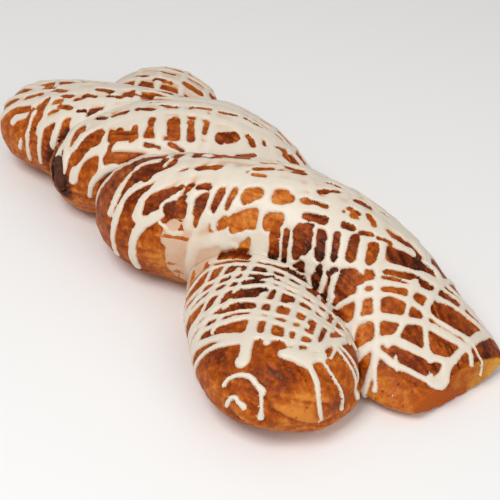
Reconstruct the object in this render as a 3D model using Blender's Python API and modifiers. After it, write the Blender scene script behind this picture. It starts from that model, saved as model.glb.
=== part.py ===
"""Two-strand danish twist: a filled, laminated pastry baked from two strands wound round each other.

X runs along the twist, from its far end (-X) to its near end (+X), and +Z is up. The origin is at
the middle of the flat underside. Strand A runs out at the near end with a straight knife cut, and
strand B ends there in a rounded tip that splays out to -Y. Sizes are in millimetres, and turn into
metres where a mesh is made.
"""
import math

import bmesh
import bpy
import numpy as np
from mathutils import Matrix, Vector

MM = 0.001

# Each strand's stations, a quarter turn of the twist apart, set by hand: where the middle of the
# strand lies (x, y, z), half its width in plan and half its height. At every other station a strand
# lies at the side, wide and round. Between those it crosses over the other one, high up, or passes
# under it, pinched. The turns are uneven: short at the far end and long at the near end.
STRAND_A = (
    (-122.0, -41.0, 22.0, 28.0, 22.0),      # side, the far left lobe
    (-75.0, -12.0, 26.0, 32.0, 28.0),       # over
    (-43.0, 26.0, 20.0, 26.0, 22.0),        # side
    (-29.0, 3.0, 14.0, 32.0, 20.0),         # under
    (-5.0, -27.0, 27.0, 31.0, 28.0),        # side, the large left lobe
    (52.0, 20.0, 29.0, 30.0, 32.0),         # over
    (121.0, 34.0, 7.0, 36.0, 9.0),          # the cut end, pressed flat
)
STRAND_B = (
    (-106.0, 16.0, 20.0, 34.0, 24.0),       # side, the far end
    (-88.0, 0.0, 8.0, 28.0, 18.0),          # under
    (-69.0, -29.0, 22.0, 32.0, 24.0),       # side, the lobe that split open
    (-35.0, 14.0, 31.0, 32.0, 26.0),        # over
    (12.0, 26.0, 13.0, 24.0, 22.0),         # side
    (47.0, -4.0, 12.0, 33.0, 24.0),         # under
    (108.0, -31.0, 18.0, 34.0, 20.0),       # the rounded tip
)
SECTIONS = 90               # rounded sections swept along a strand
SECTION_SIDES = 36
SECTION_RINGS = 18

# Strand B's tip spreads where it meets the tray: middle, half width, half height.
TIP_TOE = (113.0, -25.0, 10.0, 28.0, 12.0)

# The knife cut through strand A's near end: distance from the middle, and turn about Z.
CUT_OFFSET = 149.5
CUT_ANGLE = math.radians(9.0)

# Fusing the strands into one dough, then thinning the mesh.
VOXEL = 1.8
SMOOTH_PASSES = 4
KEPT_FACES = 0.08

# Fillings. Each is a flat core that runs along the middle of its strand.
GAP = 0.3                   # clearance between a filling and the dough round it
CORE_SIDES = 10
CORE_STEPS = 27
CORE_SWING = 0.7            # a core swings less to the sides than its strand
MIDDLE_A = [(x, CORE_SWING * y, z) for x, y, z, _, _ in STRAND_A[:-1]]
MIDDLE_B = [(x, CORE_SWING * y, z) for x, y, z, _, _ in STRAND_B]
# Strand A's filling leaves through the knife cut, above the middle of the cut face.
MIDDLE_A += [(115.0, 32.0, 13.0), (167.0, 39.0, 10.0)]
CORE_A = {"start": 0.5, "end": 7.0, "half_widths": (4.5, 15.0), "half_height": 1.7}
CORE_B = {"start": 1.6, "end": 5.7, "half_widths": (5.0, 8.0), "half_height": 4.0}
# Strand B has split open at its side, and its filling fills the slit: middle of the mouth, the way
# it faces, the way it runs, half its width and length, and how deep it reaches into the strand.
SPLIT_MOUTH = (-66.5, -59.0, 27.0)
SPLIT_FACING = (0.0, -0.95, 0.31)
SPLIT_RUN = (-0.57, 0.0, 0.82)
SPLIT_HALF_WIDTH = 3.0
SPLIT_HALF_LENGTH = 8.5
SPLIT_DEPTH = 40.0
SPLIT_SIDES = 16
SPLIT_ROUNDING = 0.9

BLOCK = 400.0               # a cutter larger than the pastry

CRUST = (0.42, 0.13, 0.03, 1.0)
FILLING = (0.055, 0.018, 0.008, 1.0)


def clear_scene():
    """Remove what the scene holds."""
    for obj in list(bpy.data.objects):
        bpy.data.objects.remove(obj, do_unlink=True)


def collection(name):
    """A new collection under the scene's own."""
    group = bpy.data.collections.new(name)
    bpy.context.scene.collection.children.link(group)
    return group


def material(name, colour, roughness):
    """A Principled material with one colour."""
    made = bpy.data.materials.new(name)
    made.use_nodes = True
    shader = made.node_tree.nodes["Principled BSDF"]
    shader.inputs["Base Color"].default_value = colour
    shader.inputs["Roughness"].default_value = roughness
    return made


def natural_spline(stations, places):
    """Read a natural cubic spline through the stations at each of the places."""
    values = np.array(stations)
    count = len(values)
    matrix = np.eye(count)
    right = np.zeros_like(values)
    for i in range(1, count - 1):
        matrix[i, i - 1:i + 2] = (1.0, 4.0, 1.0)
        right[i] = 6.0 * (values[i - 1] - 2.0 * values[i] + values[i + 1])
    bends = np.linalg.solve(matrix, right)
    result = []
    for place in places:
        i = min(max(int(place), 0), count - 2)
        t = place - i
        start, end = values[i], values[i + 1]
        slope = end - start - (2.0 * bends[i] + bends[i + 1]) / 6.0
        curve = (bends[i + 1] - bends[i]) / 6.0
        result.append(start + t * (slope + t * (bends[i] / 2.0 + t * curve)))
    return result


def mesh_object(name, bm, group, finish=None):
    """Turn a bmesh in millimetres into an object in metres."""
    bmesh.ops.transform(bm, matrix=Matrix.Scale(MM, 4), verts=bm.verts)
    bmesh.ops.recalc_face_normals(bm, faces=bm.faces)
    mesh = bpy.data.meshes.new(name)
    bm.to_mesh(mesh)
    bm.free()
    obj = bpy.data.objects.new(name, mesh)
    group.objects.link(obj)
    if finish:
        mesh.materials.append(finish)
    return obj


def unit_sphere():
    """A ball of radius 1, kept as a mesh that each section copies."""
    bm = bmesh.new()
    bmesh.ops.create_uvsphere(bm, u_segments=SECTION_SIDES, v_segments=SECTION_RINGS, radius=1.0)
    ball = bpy.data.meshes.new("ball")
    bm.to_mesh(ball)
    bm.free()
    return ball


def add_section(bm, ball, x, y, z, half_width, half_height):
    """Add one rounded section of a strand: round in plan, flattened in height."""
    section = ball.copy()
    size = Matrix.Diagonal((half_width, half_width, half_height, 1.0))
    section.transform(Matrix.Translation((x, y, z)) @ size)
    bm.from_mesh(section)
    bpy.data.meshes.remove(section)


def make_dough(group, finish):
    """Sweep both strands and fuse them into one body."""
    bm = bmesh.new()
    ball = unit_sphere()
    places = np.linspace(0.0, len(STRAND_A) - 1.0, SECTIONS)
    for stations in (STRAND_A, STRAND_B):
        for section in natural_spline(stations, places):
            add_section(bm, ball, *section)
    add_section(bm, ball, *TIP_TOE)
    bpy.data.meshes.remove(ball)
    dough = mesh_object("dough", bm, group, finish)
    fuse = dough.modifiers.new("fuse", "REMESH")
    fuse.mode = "VOXEL"
    fuse.voxel_size = VOXEL * MM
    relax = dough.modifiers.new("relax", "SMOOTH")
    relax.factor = 0.5
    relax.iterations = SMOOTH_PASSES
    thin = dough.modifiers.new("thin", "DECIMATE")
    thin.ratio = KEPT_FACES
    return dough


def core_path(middle, start, end):
    """Points along the middle of a strand, between two of its stations."""
    places = np.linspace(start, end, CORE_STEPS)
    return [Vector(point) for point in natural_spline(middle, places)]


def sweep_core(bm, points, half_widths, half_height, grow):
    """Sweep a flat oval along the points, widening towards its end, its width level."""
    count = len(points)
    points = list(points)
    points[0] = points[0] + (points[0] - points[1]).normalized() * grow
    points[-1] = points[-1] + (points[-1] - points[-2]).normalized() * grow
    ring = bmesh.ops.create_circle(bm, cap_ends=False, segments=CORE_SIDES, radius=1.0)["verts"]
    shape = [vert.co.copy() for vert in ring]
    first = None
    for i, point in enumerate(points):
        along = (points[min(i + 1, count - 1)] - points[max(i - 1, 0)]).normalized()
        side = Vector((-along.y, along.x, 0.0)).normalized()
        up = along.cross(side)
        ends = min(i, count - 1 - i)
        swell = min(1.0, 0.45 + 0.25 * ends)
        reach = (i / (count - 1)) ** 3
        wide = (half_widths[0] + (half_widths[1] - half_widths[0]) * reach) * swell + grow
        high = half_height * swell + grow
        if i:
            edges = [edge for edge in bm.edges if edge.verts[0] in ring and edge.verts[1] in ring]
            pushed = bmesh.ops.extrude_edge_only(bm, edges=edges)["geom"]
            new_ring = [item for item in pushed if isinstance(item, bmesh.types.BMVert)]
            order = {}
            for vert in new_ring:
                linked = [edge.other_vert(vert) for edge in vert.link_edges]
                order[vert] = next(ring.index(other) for other in linked if other in ring)
            ring = sorted(new_ring, key=order.get)
        else:
            first = ring
        for vert, flat in zip(ring, shape):
            vert.co = point + side * flat.x * wide + up * flat.y * high
    bmesh.ops.contextual_create(bm, geom=list(first))
    bmesh.ops.contextual_create(bm, geom=list(ring))


def core_mesh(middle, core, grow):
    """A filling's core, or with grow the tunnel that it lies in."""
    bm = bmesh.new()
    points = core_path(middle, core["start"], core["end"])
    sweep_core(bm, points, core["half_widths"], core["half_height"], grow)
    bmesh.ops.triangulate(bm, faces=bm.faces, quad_method="FIXED", ngon_method="EAR_CLIP")
    return bm


def split_mesh(grow, beyond):
    """The filling in the slit, or the slit itself, which runs out beyond the dough."""
    facing = Vector(SPLIT_FACING).normalized()
    run = Vector(SPLIT_RUN)
    run = (run - run.dot(facing) * facing).normalized()
    turn = Matrix((run.cross(facing), run, facing)).transposed().to_4x4()
    middle = Vector(SPLIT_MOUTH) + facing * (beyond - SPLIT_DEPTH) / 2.0
    size = (SPLIT_HALF_WIDTH + grow, SPLIT_HALF_LENGTH + grow, SPLIT_DEPTH + beyond, 1.0)
    bm = bmesh.new()
    bmesh.ops.create_cone(
        bm, cap_ends=True, segments=SPLIT_SIDES, radius1=1.0, radius2=1.0, depth=1.0,
        matrix=Matrix.Translation(middle) @ turn @ Matrix.Diagonal(size))
    if not beyond:
        outer = max(bm.faces, key=lambda face: face.calc_center_median().dot(facing))
        bmesh.ops.bevel(
            bm, geom=outer.edges, offset=SPLIT_ROUNDING, segments=2, profile=0.5, affect="EDGES")
    return bm


def block_mesh(matrix):
    """A large block whose top face is at the matrix's own origin."""
    bm = bmesh.new()
    place = matrix @ Matrix.Translation((0.0, 0.0, -BLOCK / 2.0))
    bmesh.ops.create_cube(bm, size=BLOCK, matrix=place)
    return bm


def combine(obj, tool, operation):
    """Boolean one object with another, exactly."""
    step = obj.modifiers.new(f"{operation.lower()} {tool.name}", "BOOLEAN")
    step.operation = operation
    step.solver = "EXACT"
    step.object = tool


def as_cutter(name, bm, group):
    """An object that only cuts, drawn as wire."""
    cutter = mesh_object(name, bm, group)
    cutter.hide_render = True
    cutter.display_type = "WIRE"
    return cutter


def centre_on_origin(body, objects):
    """Shift every object so that the body's box is centred in X and Y."""
    bpy.context.view_layer.update()
    evaluated = body.evaluated_get(bpy.context.evaluated_depsgraph_get())
    mesh = evaluated.to_mesh()
    corners = [vert.co.copy() for vert in mesh.vertices]
    evaluated.to_mesh_clear()
    for axis in (0, 1):
        low = min(corner[axis] for corner in corners)
        high = max(corner[axis] for corner in corners)
        for obj in objects:
            obj.location[axis] -= (low + high) / 2.0


def main():
    """Build the dough and its two fillings."""
    clear_scene()
    parts = collection("danish_twist")
    cutters = collection("cutters")

    dough = make_dough(parts, material("baked crust", CRUST, 0.55))
    jam = material("dark filling", FILLING, 0.4)
    filling_a = mesh_object("filling_a", core_mesh(MIDDLE_A, CORE_A, 0.0), parts, jam)
    filling_b = mesh_object("filling_b", core_mesh(MIDDLE_B, CORE_B, 0.0), parts, jam)
    combine(filling_b, as_cutter("split filling", split_mesh(0.0, 0.0), cutters), "UNION")

    below_tray = as_cutter("below tray", block_mesh(Matrix()), cutters)
    cut_place = Matrix.Rotation(CUT_ANGLE, 4, "Z") @ Matrix.Translation((CUT_OFFSET, 0.0, 0.0))
    beyond_cut = as_cutter(
        "beyond cut", block_mesh(cut_place @ Matrix.Rotation(-math.pi / 2.0, 4, "Y")), cutters)
    tunnel_a = as_cutter("tunnel a", core_mesh(MIDDLE_A, CORE_A, GAP), cutters)
    tunnel_b = as_cutter("tunnel b", core_mesh(MIDDLE_B, CORE_B, GAP), cutters)
    split = as_cutter("split", split_mesh(GAP, SPLIT_DEPTH / 4.0), cutters)
    for tool in (below_tray, beyond_cut, tunnel_a, tunnel_b, split):
        combine(dough, tool, "DIFFERENCE")
    combine(filling_a, beyond_cut, "DIFFERENCE")

    centre_on_origin(dough, [*parts.objects, *cutters.objects])
    for obj in parts.objects:
        obj.data.shade_smooth()


main()
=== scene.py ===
"""Looks of an iced danish twist: its baked crust, its fillings and its drizzled sugar icing.

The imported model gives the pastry's place and size, and this script dresses it. Lengths are in
millimetres unless a name says otherwise, and turn into metres where a mesh is written.
"""
import logging
import math
from collections.abc import Iterable
from dataclasses import dataclass, field
from itertools import chain, product

import bmesh
import bpy
import numpy as np
from mathutils import Matrix, Vector
from mathutils.bvhtree import BVHTree


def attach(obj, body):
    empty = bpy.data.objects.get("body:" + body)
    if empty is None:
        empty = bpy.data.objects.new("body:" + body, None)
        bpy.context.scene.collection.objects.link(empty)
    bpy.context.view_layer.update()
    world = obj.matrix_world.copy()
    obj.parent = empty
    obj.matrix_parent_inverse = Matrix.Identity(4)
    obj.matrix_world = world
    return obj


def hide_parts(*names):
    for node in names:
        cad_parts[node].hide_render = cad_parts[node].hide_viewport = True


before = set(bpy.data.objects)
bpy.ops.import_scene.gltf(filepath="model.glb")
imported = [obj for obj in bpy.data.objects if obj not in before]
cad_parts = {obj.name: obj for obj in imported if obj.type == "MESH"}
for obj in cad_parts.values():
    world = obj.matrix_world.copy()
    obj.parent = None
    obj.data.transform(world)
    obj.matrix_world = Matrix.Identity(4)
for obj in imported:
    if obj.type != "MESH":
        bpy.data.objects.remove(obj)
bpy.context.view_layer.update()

MM = 0.001

log = logging.getLogger("danish_twist")


def linear(hex_colour: str) -> tuple[float, float, float, float]:
    """Turn an sRGB hex colour into linear RGBA.

    Args:
        hex_colour: six hex digits, such as "C8843A".

    Returns:
        The colour in linear light, with an alpha of 1.
    """
    channels = [int(hex_colour[i:i + 2], 16) / 255.0 for i in (0, 2, 4)]
    flat = [c / 12.92 if c <= 0.04045 else ((c + 0.055) / 1.055) ** 2.4 for c in channels]
    return (*flat, 1.0)


def ramp(low: float, high: float, values: np.ndarray) -> np.ndarray:
    """Rise smoothly from 0 at low to 1 at high."""
    place = np.clip((values - low) / (high - low), 0.0, 1.0)
    return place * place * (3.0 - 2.0 * place)


class Grain:
    """Smooth lattice noise from -1 to 1, which is the same on each run."""

    SIDE = 32

    def __init__(self, seed: int) -> None:
        """Fill the lattice.

        Args:
            seed: which noise it is.
        """
        self.lattice = np.random.default_rng(seed).uniform(-1.0, 1.0, (self.SIDE,) * 3)

    def __call__(self, points: np.ndarray, *sizes: float) -> np.ndarray:
        """Read the noise.

        Args:
            points: places, one a row.
            sizes: how large its lumps are, once or for each axis.

        Returns:
            One value for each place.
        """
        places = points / np.array(sizes)
        cell = np.floor(places).astype(int)
        part = places - cell
        part = part * part * (3.0 - 2.0 * part)
        total = np.zeros(len(points))
        for corner in product((0, 1), repeat=3):
            i, j, k = ((cell + corner) % self.SIDE).T
            total += np.prod(np.where(corner, part, 1.0 - part), axis=1) * self.lattice[i, j, k]
        return total


@dataclass(frozen=True)
class Form:
    """One kind of form on a skin: how high it stands, and how large its lumps are."""

    height: float
    sizes: tuple[float, ...]

    def lift(self, grain: Grain, points: np.ndarray) -> np.ndarray:
        """Read its height at some places from a noise."""
        return self.height * grain(points, *self.sizes)


def natural_spline(stations: np.ndarray, places: np.ndarray) -> np.ndarray:
    """Read a natural cubic spline through stations that are one unit apart.

    Args:
        stations: one row of values for each station.
        places: where to read it, from 0 to the number of stations less one.

    Returns:
        One row of values for each place.
    """
    count = len(stations)
    matrix = np.eye(count)
    right = np.zeros_like(stations)
    for i in range(1, count - 1):
        matrix[i, i - 1:i + 2] = (1.0, 4.0, 1.0)
        right[i] = 6.0 * (stations[i - 1] - 2.0 * stations[i] + stations[i + 1])
    bends = np.linalg.solve(matrix, right)
    i = np.clip(places.astype(int), 0, count - 2)
    t = (places - i)[:, None]
    slope = stations[i + 1] - stations[i] - (2.0 * bends[i] + bends[i + 1]) / 6.0
    curve = (bends[i + 1] - bends[i]) / 6.0
    return stations[i] + t * (slope + t * (bends[i] / 2.0 + t * curve))


def points_of(mesh: bpy.types.Mesh) -> np.ndarray:
    """Read a mesh's vertices, in millimetres."""
    flat = np.empty(len(mesh.vertices) * 3)
    mesh.vertices.foreach_get("co", flat)
    return flat.reshape(-1, 3) / MM


def normals_of(mesh: bpy.types.Mesh) -> np.ndarray:
    """Read a mesh's vertex normals."""
    flat = np.empty(len(mesh.vertices) * 3)
    mesh.vertex_normals.foreach_get("vector", flat)
    return flat.reshape(-1, 3)


def move_points(mesh: bpy.types.Mesh, points: np.ndarray) -> None:
    """Write a mesh's vertices, which are given in millimetres."""
    mesh.vertices.foreach_set("co", (points * MM).ravel())
    mesh.update()


def store(mesh: bpy.types.Mesh, name: str, values: np.ndarray) -> None:
    """Keep one number or one vector for each vertex, for a material to read.

    Args:
        mesh: the mesh that keeps it.
        name: the attribute's name.
        values: one value or one row of three for each vertex.
    """
    kind, key = ("FLOAT", "value") if values.ndim == 1 else ("FLOAT_VECTOR", "vector")
    layer = mesh.attributes.new(name, kind, "POINT")
    layer.data.foreach_set(key, values.astype(np.float32).ravel())


def spread(mesh: bpy.types.Mesh, values: np.ndarray, times: int) -> np.ndarray:
    """Blur values over a mesh's edges.

    Args:
        mesh: the mesh.
        values: one value for each vertex.
        times: how often each takes the mean of its neighbours.

    Returns:
        The blurred values.
    """
    ends = np.empty(len(mesh.edges) * 2, dtype=np.int32)
    mesh.edges.foreach_get("vertices", ends)
    one, other = ends.reshape(-1, 2).T
    count = np.bincount(ends, minlength=len(values))
    for _ in range(times):
        total = np.bincount(one, values[other], len(values))
        total += np.bincount(other, values[one], len(values))
        values = total / np.maximum(count, 1)
    return values


def new_object(name: str, mesh: bpy.types.Mesh) -> bpy.types.Object:
    """Put a mesh in the scene, unturned and at the origin."""
    obj = bpy.data.objects.new(name, mesh)
    bpy.context.scene.collection.objects.link(obj)
    return obj


def applied(obj: bpy.types.Object) -> bpy.types.Mesh:
    """Turn an object and its modifiers into a plain mesh, and remove the object.

    Args:
        obj: the object.

    Returns:
        The plain mesh.
    """
    mesh = bpy.data.meshes.new_from_object(
        obj.evaluated_get(bpy.context.evaluated_depsgraph_get()))
    old = obj.data
    bpy.data.objects.remove(obj, do_unlink=True)
    bpy.data.meshes.remove(old)
    return mesh


def remeshed(mesh: bpy.types.Mesh, voxel: float, passes: int) -> bpy.types.Mesh:
    """Fuse what a mesh holds into one even skin, and relax it.

    Args:
        mesh: closed shapes, which may overlap. It is used up.
        voxel: edge length of the new skin.
        passes: how many times its corners are relaxed.

    Returns:
        The new skin.
    """
    obj = new_object("skin", mesh)
    fuse = obj.modifiers.new("fuse", "REMESH")
    fuse.mode = "VOXEL"
    fuse.voxel_size = voxel * MM
    if passes:
        relax = obj.modifiers.new("relax", "SMOOTH")
        relax.factor = 0.5
        relax.iterations = passes
    return applied(obj)


# ---------------------------------------------------------------------------------- materials

TIMES = {"operation": "MULTIPLY"}
TIMES_ADD = {"operation": "MULTIPLY_ADD"}
LESS = {"operation": "SUBTRACT"}
CLAMPED = {"use_clamp": True}
COLOURS = {"data_type": "RGBA"}
LUMPS = 0.5                     # a noise's scale times the size of its lumps


def add_node(tree: bpy.types.NodeTree, kind: str, settings: dict | None = None,
             **links: object) -> bpy.types.Node:
    """Add one node with its settings, values and links.

    Args:
        tree: the node tree that it joins.
        kind: the node's type, without "ShaderNode".
        settings: the node's own properties, with a ramp's hex colours by place as "stops".
        links: for each input, by its name with _ for a blank or by its number after "i", a
            value to set, or an output socket or a node's first one to link.

    Returns:
        The new node.
    """
    node = tree.nodes.new("ShaderNode" + kind)
    for key, value in (settings or {}).items():
        if key == "stops":
            first, *middle, last = value.items()
            marks = node.color_ramp.elements
            for mark, (place, colour) in ((marks[0], first), (marks[1], last)):
                mark.position, mark.color = place, linear(colour)
            for place, colour in middle:
                marks.new(place).color = linear(colour)
        else:
            setattr(node, key, value)
    for key, value in links.items():
        numbered = key[0] == "i" and key[1:].isdigit()
        socket = node.inputs[int(key[1:]) if numbered else key.replace("_", " ")]
        if isinstance(value, bpy.types.Node):
            value = value.outputs[0]
        if isinstance(value, bpy.types.NodeSocket):
            tree.links.new(value, socket)
        else:
            socket.default_value = value
    return node


def summed(tree: bpy.types.NodeTree, start: object,
           parts: Iterable[tuple[object, object]]) -> bpy.types.Node:
    """Add parts, each times its own amount, to a start.

    Args:
        tree: the node tree that does it.
        start: what they are added to.
        parts: each part and its amount, as sockets, nodes or numbers.

    Returns:
        The last node, which gives the sum.
    """
    for part, amount in parts:
        start = add_node(tree, "Math", TIMES_ADD, i0=part, i1=amount, i2=start)
    return start


def new_material(name: str, **values: object) -> tuple[
        bpy.types.Material, bpy.types.NodeTree, bpy.types.Node]:
    """Start a Principled material.

    Args:
        name: the real material's name.
        values: settings of the shader's sockets, with _ for a blank.

    Returns:
        The material, its node tree and its shader.
    """
    material = bpy.data.materials.new(name)
    material.use_nodes = True
    shader = material.node_tree.nodes["Principled BSDF"]
    for key, value in values.items():
        shader.inputs[key.replace("_", " ")].default_value = value
    return material, material.node_tree, shader


@dataclass(frozen=True)
class BakedCrust:
    """Egg-washed laminated dough, baked: golden where it is thin, brown where it is high.

    The butter layers leave fine streaks along the strand, and steam leaves blisters and pits.
    Painted shade darkens its seam, hollows, pits and slit, and painted highlight its raised bits.
    """

    palest: str = "D07E30"
    golden: str = "AA4E08"
    brown: str = "702600"
    dark: str = "2C0C00"
    # painted shade inside the small pits
    pit_shade: str = "4A1A06"
    fleck: str = "D88C48"
    patch_mm: float = 9.0
    patch_share: float = 0.8        # a share is how far a pattern shifts the browning
    blotch_mm: float = 3.0
    blotch_share: float = 0.6
    speckle_mm: float = 1.2
    speckle_share: float = 0.8
    streak_mm: float = 1.4
    streak_share: float = 0.45
    streak_stretch: float = 0.22    # a streak's width over its length
    pit_mm: float = 3.2
    pit_reach: float = 0.17         # a pit's radius over the way to the next
    pit_share: float = 0.55
    pits_above: float = 0.52        # pits show where the blotches pass this
    flecks_above: float = 0.58      # pale flecks show where the speckles pass this
    fleck_edge: float = 6.0         # how sharp their edge is
    fleck_share: float = 0.22
    roughness: float = 0.36
    roughness_spread: float = 0.25
    speckle_height: float = 0.55    # a height is a share of a millimetre
    blotch_height: float = 0.9
    pit_height: float = -0.25

    def material(self) -> bpy.types.Material:
        """Make the material.

        Returns:
            The crust's material.
        """
        made, tree, shader = new_material(
            "baked laminated dough", IOR=1.45, Specular_IOR_Level=0.16)
        place = add_node(tree, "TexCoord").outputs["Object"]
        flow = add_node(tree, "Attribute", {"attribute_name": "flow"}).outputs["Vector"]
        baking_and_painted_light, cut, even = (add_node(tree, "Attribute", {"attribute_name": name}).outputs["Fac"]
                            for name in ("baking_and_painted_light", "cut", "even"))

        # flow holds the way along and round a strand, so its noise is stretched along it
        stretched = add_node(tree, "Mapping", Vector=flow, Scale=(self.streak_stretch, 1.0, 1.0))
        _, blotches, speckles, streaks = noises = [
            add_node(tree, "TexNoise", Vector=where, Scale=LUMPS / (size_mm * MM),
                     Detail=detail, Roughness=0.55)
            for where, size_mm, detail in (
                (place, self.patch_mm, 3.0), (place, self.blotch_mm, 3.0),
                (place, self.speckle_mm, 2.0), (stretched, self.streak_mm, 4.0))]
        centred = [add_node(tree, "Math", LESS, i0=noise, i1=0.5) for noise in noises]
        streaky = add_node(tree, "Math", TIMES, i0=even, i1=self.streak_share)
        tone = summed(tree, baking_and_painted_light, zip(centred, (
            self.patch_share, self.blotch_share, self.speckle_share, streaky)))
        crust = add_node(tree, "ValToRGB", {"stops": {
            0.05: self.palest, 0.38: self.golden, 0.70: self.brown, 1.0: self.dark}}, Fac=tone)

        # steam leaves small pits, in some places only, and painted shade darkens them
        cells = add_node(tree, "TexVoronoi", Vector=place, Scale=1.0 / (self.pit_mm * MM))
        pits = add_node(tree, "Math", {"operation": "LESS_THAN"},
                        i0=cells.outputs["Distance"], i1=self.pit_reach)
        some = add_node(tree, "Math", {"operation": "GREATER_THAN"},
                        i0=blotches, i1=self.pits_above)
        some = add_node(tree, "Math", TIMES, i0=some, i1=self.pit_share)
        pitted = add_node(tree, "Math", TIMES, i0=pits, i1=some)
        crust = add_node(tree, "Mix", COLOURS, i0=pitted, i6=crust, i7=linear(self.pit_shade))
        # the speckles that stand out most are painted pale
        bright = add_node(tree, "Math", LESS, i0=speckles, i1=self.flecks_above)
        bright = add_node(tree, "Math", TIMES | CLAMPED, i0=bright, i1=self.fleck_edge)
        bright = add_node(tree, "Math", TIMES, i0=bright, i1=self.fleck_share)
        crust = add_node(tree, "Mix", COLOURS, i0=bright, i6=crust.outputs[2],
                         i7=linear(self.fleck))

        crumb, layers = CutCrumb().colour(tree, place)
        colour = add_node(tree, "Mix", COLOURS, i0=cut, i6=crust.outputs[2], i7=crumb)
        tree.links.new(colour.outputs[2], shader.inputs["Base Color"])
        rough = summed(tree, self.roughness, [(speckles, self.roughness_spread)])
        tree.links.new(rough.outputs[0], shader.inputs["Roughness"])
        height = summed(tree, 0.0, (
            (layers, cut), (streaks, streaky), (speckles, self.speckle_height),
            (blotches, self.blotch_height), (pits, self.pit_height)))
        bump = add_node(tree, "Bump", Height=height, Strength=0.8, Distance=1.0 * MM)
        tree.links.new(bump.outputs[0], shader.inputs["Normal"])
        return made


@dataclass(frozen=True)
class CutCrumb:
    """The crumb that a knife cut shows: thin level layers, palest where the loaf was thick."""

    crumb: str = "D8660E"
    pale: str = "FFB446"
    line: str = "AE500C"
    layer_mm: float = 1.5
    mottle_mm: float = 5.0
    mottle_share: float = 2.5
    pale_from_mm: float = 42.0      # across the loaf, from its middle
    pale_over_mm: float = 24.0

    def colour(self, tree: bpy.types.NodeTree, place: bpy.types.NodeSocket) -> tuple[
            bpy.types.NodeSocket, bpy.types.NodeSocket]:
        """Add the crumb to the crust's material.

        Args:
            tree: the material's node tree.
            place: Object coordinates.

        Returns:
            The crumb's colour, and the height of its layers.
        """
        waves = add_node(tree, "TexWave", {"bands_direction": "Z", "wave_profile": "SIN"},
                         Vector=place, Scale=LUMPS / (self.layer_mm * MM), Distortion=5.0,
                         Detail=3.0)
        layers = waves.outputs["Fac"]
        layered = add_node(tree, "ValToRGB", {"stops": {
            0.0: self.line, 0.45: self.crumb, 1.0: self.crumb}}, Fac=layers)
        mottle = add_node(tree, "TexNoise", Vector=place, Scale=LUMPS / (self.mottle_mm * MM),
                          Detail=3.0, Roughness=0.55)
        centred = add_node(tree, "Math", LESS, i0=mottle, i1=0.5)
        across = add_node(tree, "SeparateXYZ", Vector=place).outputs["Y"]
        past = add_node(tree, "Math", LESS, i0=across, i1=self.pale_from_mm * MM)
        side = add_node(tree, "Math", TIMES, i0=past, i1=1.0 / (self.pale_over_mm * MM))
        pale = add_node(tree, "Math", TIMES_ADD | CLAMPED,
                        i0=centred, i1=self.mottle_share, i2=side)
        colour = add_node(tree, "Mix", COLOURS, i0=pale, i6=layered, i7=linear(self.pale))
        return colour.outputs[2], layers


@dataclass(frozen=True)
class SugarIcing:
    """Powdered-sugar icing, drizzled and set: satin, a little see-through, and warm where thin."""

    thick: str = "E0D4C3"
    middling: str = "DCC8B2"
    thin: str = "D2AA8A"
    edge: str = "B8784A"
    full_mm: float = 0.9            # from this thickness on it hides the crust
    uneven: float = 0.5
    uneven_mm: float = 4.2
    wave_mm: float = 1.9

    def material(self) -> bpy.types.Material:
        """Make the material.

        Returns:
            The icing's material.
        """
        made, tree, shader = new_material(
            "set sugar icing", Roughness=0.42, IOR=1.48, Subsurface_Weight=0.25,
            Subsurface_Scale=1.2 * MM, Subsurface_Radius=(1.0, 0.8, 0.6))
        place = add_node(tree, "TexCoord").outputs["Object"]
        thickness = add_node(tree, "Attribute", {"attribute_name": "thickness"}).outputs["Fac"]
        cover = add_node(tree, "Math", {"operation": "DIVIDE"} | CLAMPED,
                         i0=thickness, i1=self.full_mm)
        grain = add_node(tree, "TexNoise", Vector=place, Scale=LUMPS / (self.uneven_mm * MM),
                         Detail=3.0)
        shift = summed(tree, -self.uneven / 2.0, [(grain, self.uneven)])
        cover = add_node(tree, "Math", {"operation": "ADD"} | CLAMPED, i0=cover, i1=shift)
        colour = add_node(tree, "ValToRGB", {"stops": {
            0.0: self.edge, 0.22: self.thin, 0.6: self.middling, 1.0: self.thick}}, Fac=cover)
        tree.links.new(colour.outputs[0], shader.inputs["Base Color"])
        waves = add_node(tree, "TexNoise", Vector=place, Scale=LUMPS / (self.wave_mm * MM),
                         Detail=2.0)
        bump = add_node(tree, "Bump", Height=waves, Strength=0.12, Distance=0.6 * MM)
        tree.links.new(bump.outputs[0], shader.inputs["Normal"])
        return made


@dataclass(frozen=True)
class CinnamonFilling:
    """Sugar and cinnamon paste, baked dark: moist, with grains that stand out."""

    # lit is painted highlight on the grains' tops and deep is painted shade between them, over the
    # paste's own mottle
    lit: str = "6A3A22"
    deep: str = "2E140C"
    grain_mm: float = 1.4

    def material(self) -> bpy.types.Material:
        """Make the material.

        Returns:
            The filling's material.
        """
        made, tree, shader = new_material(
            "baked cinnamon filling", Roughness=0.6, IOR=1.46, Specular_IOR_Level=0.2)
        place = add_node(tree, "TexCoord").outputs["Object"]
        grains = add_node(tree, "TexNoise", Vector=place, Scale=LUMPS / (self.grain_mm * MM),
                          Detail=4.0, Roughness=0.6)
        # the noise that raises the grains also paints their tops lighter and their hollows darker,
        # as painted light
        colour = add_node(tree, "ValToRGB", {"stops": {0.30: self.deep, 0.72: self.lit}},
                          Fac=grains)
        tree.links.new(colour.outputs[0], shader.inputs["Base Color"])
        bump = add_node(tree, "Bump", Height=grains, Strength=0.7, Distance=0.8 * MM)
        tree.links.new(bump.outputs[0], shader.inputs["Normal"])
        return made


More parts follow.
